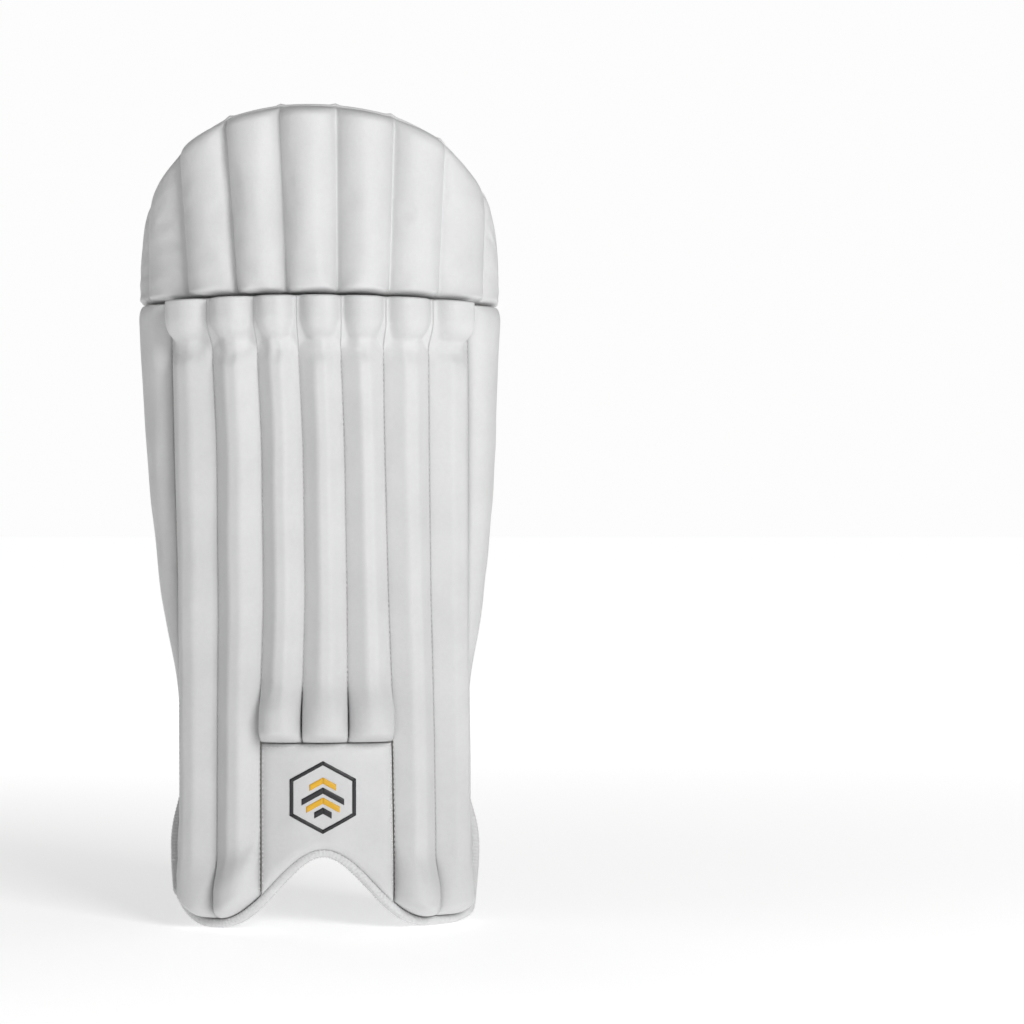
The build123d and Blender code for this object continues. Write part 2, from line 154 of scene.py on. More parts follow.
class Bench:
    """One material's node tree, with a single method that adds a node."""

    def __init__(self, name: str) -> None:
        """Starts an empty material of this name."""
        self.material = bpy.data.materials.new(name)
        self.material.use_nodes = True
        self.tree = self.material.node_tree
        self.tree.nodes.clear()
        output = self.tree.nodes.new("ShaderNodeOutputMaterial")
        self.shader = self.tree.nodes.new("ShaderNodeBsdfPrincipled")
        self.tree.links.new(self.shader.outputs[0], output.inputs[0])

    def node(
        self,
        kind: str,
        settings: dict[str, object] | None = None,
        values: dict[str, object] | None = None,
        output: str | int = 0,
        stops: Sequence[tuple[float, Triple]] = (),
    ) -> Wire:
        """Adds one node.

        Args:
            kind: The node's type after "ShaderNode".
            settings: The node's own settings.
            values: Socket name or number to a number, a tuple or a Wire.
            output: The wanted output.
            stops: A colour ramp's stops.

        Returns:
            The wanted output.
        """
        node = self.tree.nodes.new("ShaderNode" + kind)
        for key, value in (settings or {}).items():
            setattr(node, key, value)
        if stops:
            ramp = node.color_ramp.elements
            while len(ramp) < len(stops):
                ramp.new(1.0)
            for element, (place, colour) in zip(ramp, stops):
                element.position = place
                element.color = (*colour, 1.0)
        for key, value in (values or {}).items():
            if isinstance(value, Wire):
                self.tree.links.new(value.socket, node.inputs[key])
            else:
                node.inputs[key].default_value = value
        return Wire(self.tree, node.outputs[output])

    def set(self, **values: object) -> None:
        """Sets or links the shader's sockets, named with _ for a space."""
        for key, value in values.items():
            socket = self.shader.inputs[key.replace("_", " ")]
            if isinstance(value, Wire):
                self.tree.links.new(value.socket, socket)
            else:
                socket.default_value = value

    def place(self) -> Wire:
        """Object coordinates."""
        return self.node("TexCoord", output="Object")

    def split(self, vector: Wire) -> list[Wire]:
        """A vector's three numbers."""
        node = self.node("SeparateXYZ", values={"Vector": vector}).socket.node
        return [Wire(self.tree, output) for output in node.outputs]

    def mottle(self, scale: float, detail: float = 2.0, rough: float = 0.5) -> Wire:
        """Noise over the piece, at this many features per metre."""
        return self.node(
            "TexNoise",
            values={
                "Vector": self.place(), "Scale": scale, "Detail": detail, "Roughness": rough,
            },
        )

    def tint(self, mask: Wire, low: Triple, high: Triple) -> Wire:
        """A colour that goes from low to high with a mask."""
        return self.node("ValToRGB", values={"Fac": mask}, stops=((0.0, low), (1.0, high)))

    def relief(self, height: Wire, depth: float, under: Wire | None = None) -> Wire:
        """A bumped normal.

        Args:
            height: The relief's height, from 0 to 1.
            depth: The height of 1, in metres.
            under: A coarser relief to lay it on.

        Returns:
            The normal.
        """
        values: dict[str, object] = {"Height": height, "Distance": depth, "Strength": 1.0}
        if under is not None:
            values["Normal"] = under
        return self.node("Bump", values=values)


@dataclass(frozen=True)
class Leather:
    """Soft coated hide: a fine pebble grain over a slow, slightly uneven surface."""

    name: str
    worn: Triple = (0.64, 0.64, 0.643)
    clean: Triple = (0.71, 0.71, 0.712)
    roughness: float = 0.46
    grain: float = 1500.0
    grain_depth: float = 0.00005

    def make(self) -> bpy.types.Material:
        """Builds the material."""
        bench = Bench(self.name)
        cells = bench.node(
            "TexVoronoi",
            {"feature": "DISTANCE_TO_EDGE"},
            {"Vector": bench.place(), "Scale": self.grain, "Randomness": 1.0},
            "Distance",
        )
        pebble = (cells * 3.0).at_most(1.0)
        slow = bench.mottle(22.0, 3.0)
        fine = bench.mottle(260.0, 4.0, 0.6)
        mask = (slow * 0.7 + fine * 0.3 - 0.32) * 2.4
        swell = bench.relief(fine * 0.6 + slow * 0.4, 0.00035)
        bench.set(
            Base_Color=bench.tint(mask.at_least(0.0).at_most(1.0), self.worn, self.clean),
            Roughness=fine * 0.12 + pebble * -0.05 + (self.roughness - 0.02),
            Normal=bench.relief(pebble, self.grain_depth, swell),
            Specular_IOR_Level=0.42,
            Sheen_Weight=0.06,
            Sheen_Roughness=0.5,
        )
        return bench.material


@dataclass(frozen=True)
class Cloth:
    """Woven or knitted cloth that follows the piece's own UV map, in metres."""

    name: str
    dark: Triple
    light: Triple
    along: float  # threads per metre
    across: float
    depth: float
    twill: float = 0.0
    roughness: float = 0.85
    sheen: float = 0.3

    def make(self) -> bpy.types.Material:
        """Builds the material."""
        bench = Bench(self.name)
        run, side, _ = bench.split(bench.node("UVMap"))
        slant = run + side * self.twill
        warp = side.wave(self.across)
        weft = slant.wave(self.along)
        weave = warp * weft + (1 - warp) * (1 - weft)
        fuzz = bench.mottle(1800.0, 3.0, 0.7)
        patch = bench.mottle(35.0, 3.0)
        mask = weave * 0.55 + fuzz * 0.2 + patch * 0.3
        bench.set(
            Base_Color=bench.tint(mask.at_most(1.0), self.dark, self.light),
            Roughness=fuzz * 0.15 + (self.roughness - 0.1),
            Normal=bench.relief(weave * 0.8 + fuzz * 0.35, self.depth),
            Sheen_Weight=self.sheen,
            Sheen_Roughness=0.6,
        )
        return bench.material


@dataclass(frozen=True)
class Pile:
    """Hook or loop tape: a fine field of nubs."""

    name: str
    dark: Triple
    light: Triple
    nubs: float
    depth: float

    def make(self) -> bpy.types.Material:
        """Builds the material."""
        bench = Bench(self.name)
        cells = bench.node(
            "TexVoronoi", {}, {"Vector": bench.place(), "Scale": self.nubs}, "Distance"
        )
        nub = 1 - (cells * 1.6).at_most(1.0)
        fuzz = bench.mottle(2600.0, 3.0, 0.7)
        bench.set(
            Base_Color=bench.tint((nub * 0.7 + fuzz * 0.4).at_most(1.0), self.dark, self.light),
            Roughness=fuzz * 0.2 + 0.75,
            Normal=bench.relief(nub * 0.8 + fuzz * 0.4, self.depth),
            Sheen_Weight=0.4,
        )
        return bench.material


@dataclass(frozen=True)
class Thread:
    """Waxed sewing thread: two plies with a slow change of tone."""

    name: str
    dark: Triple = (0.62, 0.61, 0.6)
    light: Triple = (0.82, 0.82, 0.81)

    def make(self) -> bpy.types.Material:
        """Builds the material."""
        bench = Bench(self.name)
        ply = bench.mottle(1400.0, 2.0)
        bench.set(
            Base_Color=bench.tint(ply, self.dark, self.light),
            Roughness=ply * 0.2 + 0.5,
            Normal=bench.relief(ply, 0.0001),
        )
        return bench.material


@dataclass(frozen=True)
class Print:
    """Screen-printed ink, thin enough to let the grain under it show."""

    name: str
    dark: Triple
    light: Triple

    def make(self) -> bpy.types.Material:
        """Builds the material."""
        bench = Bench(self.name)
        fine = bench.mottle(700.0, 4.0, 0.6)
        slow = bench.mottle(60.0, 2.0)
        bench.set(
            Base_Color=bench.tint(fine * 0.4 + slow * 0.6, self.dark, self.light),
            Roughness=fine * 0.15 + 0.3,
            Normal=bench.relief(fine, 0.00006),
            Specular_IOR_Level=0.5,
        )
        return bench.material


@dataclass(frozen=True)
class Core:
    """Cane or board, which the light seldom reaches."""

    name: str
    dark: Triple
    light: Triple
    scale: float
    stretch: float = 1.0  # how much longer the figure is up the pad than across it
    depth: float = 0.0002

    def make(self) -> bpy.types.Material:
        """Builds the material."""
        bench = Bench(self.name)
        long = bench.node(
            "Mapping", values={"Vector": bench.place(), "Scale": (1.0, 1.0, 1.0 / self.stretch)}
        )
        figure = bench.node(
            "TexNoise", values={"Vector": long, "Scale": self.scale, "Detail": 5.0}
        )
        bench.set(
            Base_Color=bench.tint(figure, self.dark, self.light),
            Roughness=figure * 0.2 + 0.6,
            Normal=bench.relief(figure, self.depth),
        )
        return bench.material


class Finish(Enum):
    """Every finish on the pad, with the record's slot that it belongs to."""

    HIDE = ("white_leather", Leather("white_hide"))
    EDGE = (
        "binding_leather",
        Leather("edge_hide", (0.65, 0.65, 0.653), (0.74, 0.74, 0.743), 0.5, 1100.0, 0.00007),
    )
    LINING = (
        "lining_fabric",
        Cloth("lining_knit", (0.6, 0.61, 0.63), (0.8, 0.81, 0.82), 620, 620, 0.0002, 1.0),
    )
    CUSHION = (
        "cushion_fabric",
        Cloth("cushion_towelling", (0.62, 0.63, 0.64), (0.83, 0.83, 0.83), 480, 480, 0.0003),
    )
    WEBBING = (
        "webbing",
        Cloth("strap_webbing", (0.58, 0.58, 0.57), (0.82, 0.82, 0.81), 560, 420, 0.0004, 0.6),
    )
    ELASTIC = (
        "elastic",
        Cloth("strap_elastic", (0.55, 0.55, 0.55), (0.8, 0.8, 0.79), 900, 330, 0.0005),
    )
    LOOP = ("hook_and_loop", Pile("loop_tape", (0.6, 0.6, 0.6), (0.84, 0.84, 0.83), 900, 0.0006))
    HOOK = ("hook_and_loop", Pile("hook_tape", (0.42, 0.42, 0.42), (0.7, 0.7, 0.7), 620, 0.0009))
    THREAD = ("white_leather", Thread("seam_thread"))
    INK_DARK = ("badge", Print("badge_black", (0.012, 0.012, 0.014), (0.03, 0.03, 0.033)))
    INK_AMBER = ("badge", Print("badge_amber", (0.72, 0.38, 0.02), (0.86, 0.5, 0.035)))
    CANE = ("split_cane", Core("core_cane", (0.4, 0.24, 0.1), (0.66, 0.46, 0.24), 700, 12))
    BOARD = ("backing_board", Core("core_board", (0.6, 0.59, 0.55), (0.76, 0.75, 0.71), 300))

    @property
    def slot(self) -> str:
        """The record's slot."""
        return self.value[0]

    def material(self) -> bpy.types.Material:
        """The finish's material, made when it is first asked for."""
        recipe = self.value[1]
        return bpy.data.materials.get(recipe.name) or recipe.make()


# ---------------------------------------------------------------- mesh making
def smooth_least(left: float, right: float, radius: float) -> float:
    """The smaller of two values, with the corner between them rounded."""
    share = max(radius - abs(left - right), 0.0) / radius
    return min(left, right) - share * share * radius * 0.25


def smooth_most(left: float, right: float, radius: float) -> float:
    """The larger of two values, with the corner between them rounded."""
    return -smooth_least(-left, -right, radius)


def ease(low: float, high: float, value: float) -> float:
    """0 below low, 1 above high, and a smooth step between them."""
    share = min(max((value - low) / (high - low), 0.0), 1.0)
    return share * share * (3 - 2 * share)


def dome(share: float, power: float = 2.0) -> float:
    """The height of a crowned section: 1 in the middle, 0 where share is -1 or 1."""
    return max(0.0, 1.0 - min(abs(share), 1.0) ** power) ** 0.5


def closing(distance: float, radius: float) -> float:
    """How full a stuffed piece is at this distance from a sewn end: 0 to 1."""
    return dome(1.0 - min(max(distance, 0.0), radius) / radius)


def wander(*place: float) -> float:
    """Smooth seeded noise, about -0.5 to 0.5."""
    return noise.noise(Vector((place + (0.0, 0.0, 0.0))[:3]))


def crowded(step: int, count: int, share: float = 1.0) -> float:
    """How far along a row step is, 0 to 1, drawn towards both ends by this share."""
    eased = 0.5 - 0.5 * math.cos(math.pi * step / count)
    return share * eased + (1 - share) * step / count


def smoothed(values: np.ndarray, reach: int, **ends: str) -> np.ndarray:
    """Values averaged under a bell.

    Args:
        values: The evenly spaced values.
        reach: Half the bell's width, in places.
        ends: How the values are carried on past both ends, as numpy's pad takes it.

    Returns:
        As many values as were given.
    """
    bell = np.hanning(2 * reach + 1)
    bell /= bell.sum()
    return np.convolve(np.pad(values, reach, **ends), bell, mode="valid")


def evened(
    path: Sequence, steps: Callable[[float], np.ndarray], reach: int
) -> tuple[np.ndarray, float]:
    """A plan path, spaced evenly and then smoothed.

    Args:
        path: Its points.
        steps: The wanted distances along a path of this length.
        reach: Half the width of the smoothing, in steps.

    Returns:
        The new points and the length of the given path.
    """
    raw = np.array(path)
    runs = np.concatenate(([0.0], np.cumsum(np.hypot(*np.diff(raw, axis=0).T))))
    wanted = steps(runs[-1])
    columns = [
        smoothed(np.interp(wanted, runs, raw[:, i]), reach, mode="reflect", reflect_type="odd")
        for i in (0, 1)
    ]
    return np.stack(columns, axis=1), float(runs[-1])


def level(way: np.ndarray) -> Vector:
    """A plan direction as a direction in space."""
    return Vector((way[0], way[1], 0.0))


@dataclass
class Skin:
    """A mesh in the making: points in metres, faces, and a UV in metres for every point."""

    points: list[Vector] = field(default_factory=list)
    faces: list[tuple[int, ...]] = field(default_factory=list)
    uvs: list[Pair] = field(default_factory=list)

    def add(self, point: Vector, uv: Pair = (0.0, 0.0)) -> int:
        """Adds a point and returns its number."""
        self.points.append(point)
        self.uvs.append(uv)
        return len(self.points) - 1

    def grid(self, rows: Sequence[Sequence[int]], loop: bool = False) -> None:
        """Joins rows of point numbers with quads; loop joins each row's ends too."""
        for low, high in zip(rows, rows[1:]):
            count = len(low)
            for index in range(count if loop else count - 1):
                after = (index + 1) % count
                self.faces.append((low[index], low[after], high[after], high[index]))

    def tube(self, rings: Sequence[Sequence[Vector]], uvs: Sequence | None = None) -> list:
        """Adds rings of points, joins them and closes both ends.

        Args:
            rings: Equal rings, each counter-clockwise seen from the last ring's end.
            uvs: For each ring, a UV for each of its points.

        Returns:
            The rings as point numbers.
        """
        numbers = []
        for row, ring in enumerate(rings):
            marks = uvs[row] if uvs else [(0.0, 0.0)] * len(ring)
            numbers.append([self.add(point, mark) for point, mark in zip(ring, marks)])
        self.grid(numbers, loop=True)
        self.faces.append(tuple(reversed(numbers[0])))
        self.faces.append(tuple(numbers[-1]))
        return numbers

    def slab(self, rows: Sequence[tuple[Sequence[Vector], Sequence[Vector]]]) -> list:
        """Adds rows of a front and a back, equally long, and joins them into a closed skin.

        Args:
            rows: For each row, the points of its front and of its back, both left to right.

        Returns:
            For each row, the numbers of its front and then of its back, right to left.
        """
        numbers = [
            [self.add(p, (p.x, p.z)) for p in [*near, *reversed(far)]] for near, far in rows
        ]
        self.grid(numbers, loop=True)
        for row, flip in ((numbers[0], True), (numbers[-1], False)):
            for step in range(len(rows[0][0]) - 1):
                quad = (row[step], row[step + 1], row[-step - 2], row[-step - 1])
                self.faces.append(tuple(reversed(quad)) if flip else quad)
        return numbers

    def build(self, name: str, finish: Finish) -> Piece:
        """Makes the object with its finish's material.

        Args:
            name: The piece's name.
            finish: Its finish.

        Returns:
            The object, at the origin, smooth, with its faces pointing out.
        """
        mesh = bpy.data.meshes.new(name)
        mesh.from_pydata([tuple(point) for point in self.points], [], self.faces)
        layer = mesh.uv_layers.new(name="UVMap")
        for loop in mesh.loops:
            layer.data[loop.index].uv = self.uvs[loop.vertex_index]
        mesh.polygons.foreach_set("use_smooth", [True] * len(mesh.polygons))
        mesh.materials.append(finish.material())
        mesh.update()
        piece = bpy.data.objects.new(name, mesh)
        bpy.context.collection.objects.link(piece)
        finish.slot
        if finish is not Finish.THREAD:  # stitches are laid the right way round
            turn_out(piece)
        return piece


def only(piece: Piece) -> None:
    """Selects one object and makes it active."""
    bpy.ops.object.select_all(action="DESELECT")
    piece.select_set(True)
    bpy.context.view_layer.objects.active = piece


def turn_out(piece: Piece) -> None:
    """Makes a closed piece's faces point out."""
    only(piece)
    bpy.ops.object.mode_set(mode="EDIT")
    bpy.ops.mesh.select_all(action="SELECT")
    bpy.ops.mesh.normals_make_consistent(inside=False)
    bpy.ops.object.mode_set(mode="OBJECT")


def subdivided(piece: Piece, levels: int = 1) -> None:
    """Adds and applies a subdivision surface."""
    only(piece)
    modifier = piece.modifiers.new("smooth", "SUBSURF")
    modifier.levels = levels
    modifier.render_levels = levels
    bpy.ops.object.modifier_apply(modifier=modifier.name)


def settle(piece: Piece, body: str, *replaced: str) -> Piece:
    """Hangs a finished piece on its body and hides the CAD nodes that it stands for."""
    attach(piece, body)
    if replaced:
        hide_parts(*replaced)
    LOG.info("%s: %d faces, on %s", piece.name, len(piece.data.polygons), body)
    return piece


@dataclass(frozen=True)
class Stuffing:
    """How a sewn piece is blown out by what it is stuffed with."""

    pressure: float = 4.0
    frames: int = 20
    cap: float = 5.0
    slack: float = 0.03  # share by which the cloth is cut larger than its place
    stiffness: float = 12.0
    bend: float = 0.6

    def fill(self, piece: Piece, held: Sequence[int]) -> None:
        """Blows the piece out by cloth simulation and applies the result.

        Args:
            piece: A closed mesh.
            held: The points that the seams and the backing hold still.
        """
        before = np.array([point.co for point in piece.data.vertices])
        group = piece.vertex_groups.new(name="held")
        group.add([int(index) for index in held], 1.0, "REPLACE")
        only(piece)
        modifier = piece.modifiers.new("stuffing", "CLOTH")
        cloth = modifier.settings
        cloth.quality = 5
        cloth.mass = 0.3
        cloth.tension_stiffness = self.stiffness
        cloth.compression_stiffness = self.stiffness
        cloth.shear_stiffness = self.stiffness * 0.5
        cloth.bending_stiffness = self.bend
        cloth.air_damping = 3.0
        cloth.use_pressure = True
        cloth.uniform_pressure_force = self.pressure
        cloth.shrink_min = -self.slack
        cloth.vertex_group_mass = group.name
        cloth.effector_weights.gravity = 0.0
        modifier.collision_settings.use_collision = False
        modifier.point_cache.frame_start = 1
        modifier.point_cache.frame_end = self.frames
        for number in range(1, self.frames + 1):
            bpy.context.scene.frame_set(number)
        shaped = piece.evaluated_get(bpy.context.evaluated_depsgraph_get())
        after = np.array([point.co for point in shaped.data.vertices])
        piece.modifiers.remove(modifier)
        piece.vertex_groups.clear()
        bpy.context.scene.frame_set(1)
        moved = after - before
        length = np.linalg.norm(moved, axis=1, keepdims=True)
        limit = self.cap * MM
        eased = limit * np.tanh(length / limit)
        after = before + moved * eased / np.maximum(length, 1e-9)
        piece.data.vertices.foreach_set("co", after.ravel())
        piece.data.update()
        LOG.info("%s stuffed: moved up to %.1f mm", piece.name, float(length.max()) / MM)


@dataclass
class Stitching:
    """A row of thread stitches laid along a seam."""

    pitch: float = 3.4
    length: float = 2.3
    thickness: float = 0.36

    def sew(self, skin: Skin, seam: Sequence[tuple[Vector, np.ndarray]]) -> None:
        """Adds a row of stitches to a skin.

        Args:
            skin: The mesh that gathers all the rows of one piece.
            seam: Its points, in metres, each with the plan direction out of the surface there.
        """
        sides = 6
        reach = 0.0
        for (start, way), (end, _) in zip(seam, seam[1:]):
            run, out = end - start, level(way)
            if run.length < 1e-7:
                continue
            ahead = run.normalized()
            side = ahead.cross(out).normalized()
            up = side.cross(ahead)
            while reach < run.length:
                centre = start + ahead * reach
                rings = []
                for along, girth in ((-0.5, 0.35), (-0.3, 1.0), (0.3, 1.0), (0.5, 0.35)):
                    lift = up * (math.cos(along * math.pi) * self.thickness * 0.6 * MM)
                    middle = centre + ahead * (along * self.length * MM) + lift
                    ring = []
                    for step in range(sides):
                        turn = 2 * math.pi * step / sides
                        across = side * math.cos(turn) + up * math.sin(turn) * 0.8
                        ring.append(middle + across * (girth * self.thickness * MM))
                    rings.append(ring)
                skin.tube(rings)
                reach += self.pitch * MM
            reach -= run.length


# ---------------------------------------------------------------- the pad's plan shape
class PlanLine:
    """A line across the pad in plan, mirrored about its middle, measured along its length."""

    def __init__(self, first_half: float, steps: Sequence[Pair]) -> None:
        """Lays the line out.

        Args:
            first_half: Half the length of the middle facet.
            steps: The (angle in degrees, length) of each further facet on the right.
        """
        right = [(first_half, 0.0)]
        for angle, length in steps:
            x, y = right[-1]
            turn = math.radians(angle)
            right.append((x + length * math.cos(turn), y + length * math.sin(turn)))
        self.points = np.array([(-x, y) for x, y in reversed(right)] + right)
        runs = np.hypot(*np.diff(self.points, axis=0).T)
        self.arcs = np.concatenate(([0.0], np.cumsum(runs)))
        self.arcs -= self.arcs[-1] / 2

    def at(self, arc: float) -> np.ndarray:
        """The plan point at this arc, carried on straight beyond the ends."""
        inside = min(max(arc, self.arcs[0]), self.arcs[-1])
        place = np.array([np.interp(inside, self.arcs, self.points[:, i]) for i in (0, 1)])
        if arc != inside:
            ends = (0, 1) if arc < inside else (-2, -1)
            way = self.points[ends[1]] - self.points[ends[0]]
            place = place + way / np.hypot(*way) * (arc - inside)
        return place

    def rounded(self, arc: float, reach: float = 14.0) -> np.ndarray:
        """The plan point at this arc with the line's corners rounded."""
        return sum(self.at(arc + reach * step / 3) for step in range(-3, 4)) / 7

    def out(self, arc: float, reach: float = 14.0) -> np.ndarray:
        """The unit vector out of the rounded line, towards the pad's face."""
        way = self.rounded(arc + 1.0, reach) - self.rounded(arc - 1.0, reach)
        way /= np.hypot(*way)
        return np.array([way[1], -way[0]])

    def arc_of(self, x: float) -> float:
        """The arc at which the line crosses x."""
        return float(np.interp(x, self.points[:, 0], self.arcs))


@dataclass(frozen=True)
class Pattern:
    """The sizes that several sub-assemblies share."""

    face_y: float
    pitch: float = 36.5
    turn: float = 12.5
    canes: int = 7
    seam_z: float = 504.0
    short_foot_z: float = 150.0
    arch_height: float = 58.0
    arch_half_width: float = 82.0
    arch_middle: float = 2.0
    flat_half: float = 96.5  # the foot edge rises from about here outwards
    twist: float = 7.5  # how much further out it stays flat on the right, and less on the left
    corner_rise: float = 0.067
    corner_power: float = 1.8
    hem_rise: float = 4.0
    hem_half: float = 146.0
    hem_fade_z: float = 430.0
    hem_gap: float = 0.8
    binding: float = 7.5

    @property
    def top_z(self) -> float:
        """Where the shell's covers end, just under the seam over the knee."""
        return self.seam_z - self.hem_gap

    def spot(self, plan: np.ndarray, z: float) -> Vector:
        """A plan point at height z as a place in metres."""
        return Vector((plan[0] * MM, (plan[1] + self.face_y) * MM, z * MM))

    def face(self) -> PlanLine:
        """The line of the backing board's face."""
        return PlanLine(
            self.pitch / 2, [(self.turn * k, self.pitch) for k in range(1, self.canes // 2 + 1)]
        )

    def foot_z(self, x: float) -> float:
        """The height of the pad's arched foot edge, which rises again at its outer corners."""
        aside = x - self.arch_middle
        if abs(aside) > self.arch_half_width:
            flat = self.flat_half + math.copysign(self.twist, x)
            return self.corner_rise * max(0.0, abs(x) - flat) ** self.corner_power
        return self.arch_height * (1 + math.cos(math.pi * aside / self.arch_half_width)) / 2

    def arched(self, x: float, z: float) -> float:
        """A height moved up by the gentle arch of the seam over the knee."""
        middle = 1 - (x / self.hem_half) ** 2
        return z + self.hem_rise * middle * ease(self.hem_fade_z, self.seam_z, z)


# How far each of the eight seams between the canes wanders sideways, at five heights.
SEAM_WANDER = (
    (55.0, (3.8, 4.1, 5.3, 4.5, 5.0, 5.9, 6.7, 5.4)),
    (167.0, (3.2, 4.6, 5.3, 2.9, 3.3, 3.9, 4.7, 4.9)),
    (263.0, (2.6, 5.2, 8.2, 5.4, 2.5, 0.2, 1.9, 3.4)),
    (392.0, (-1.9, 3.9, 6.8, 3.9, 0.4, -3.0, 0.3, 3.8)),
    (480.0, (-4.3, -0.9, 2.1, -0.6, -3.0, -3.9, -0.2, 3.0)),
)


@dataclass
class CaneSeams:
    """The eight seams between the canes, each a line that wanders down the shin."""

    pattern: Pattern
    raised: float = 6.2  # how far out the inner seams are sewn, which carries them sideways

    def __post_init__(self) -> None:
        """Lays out the board's face line."""
        self.line = self.pattern.face()
        heights = np.array([row[0] for row in SEAM_WANDER])
        fine = np.arange(heights[0] - 60.0, heights[-1] + 60.0, 4.0)
        self.heights = fine
        self.drifts = []
        for seam in range(self.pattern.canes + 1):
            drift = np.interp(fine, heights, [row[1][seam] for row in SEAM_WANDER])
            self.drifts.append(smoothed(drift, 10, mode="edge"))

    def arc(self, seam: int, z: float) -> float:
        """The arc of a seam at height z."""
        aside = seam - self.pattern.canes / 2
        nominal = aside * self.pattern.pitch
        if 0 < seam < self.pattern.canes:
            nominal -= self.raised * math.tan(math.radians(self.pattern.turn * aside))
        return nominal + float(np.interp(z, self.heights, self.drifts[seam]))

    def plan(self, seam: int, z: float) -> np.ndarray:
        """The plan point of a seam at height z."""
        return self.line.at(self.arc(seam, z))

    def across(self, index: int, z: float) -> tuple[np.ndarray, ...]:
        """A cane's two seams in plan, then the unit vectors from one to the other and out."""
        left, right = self.plan(index, z), self.plan(index + 1, z)
        way = (right - left) / np.hypot(*(right - left))
        return left, right, way, np.array([way[1], -way[0]])


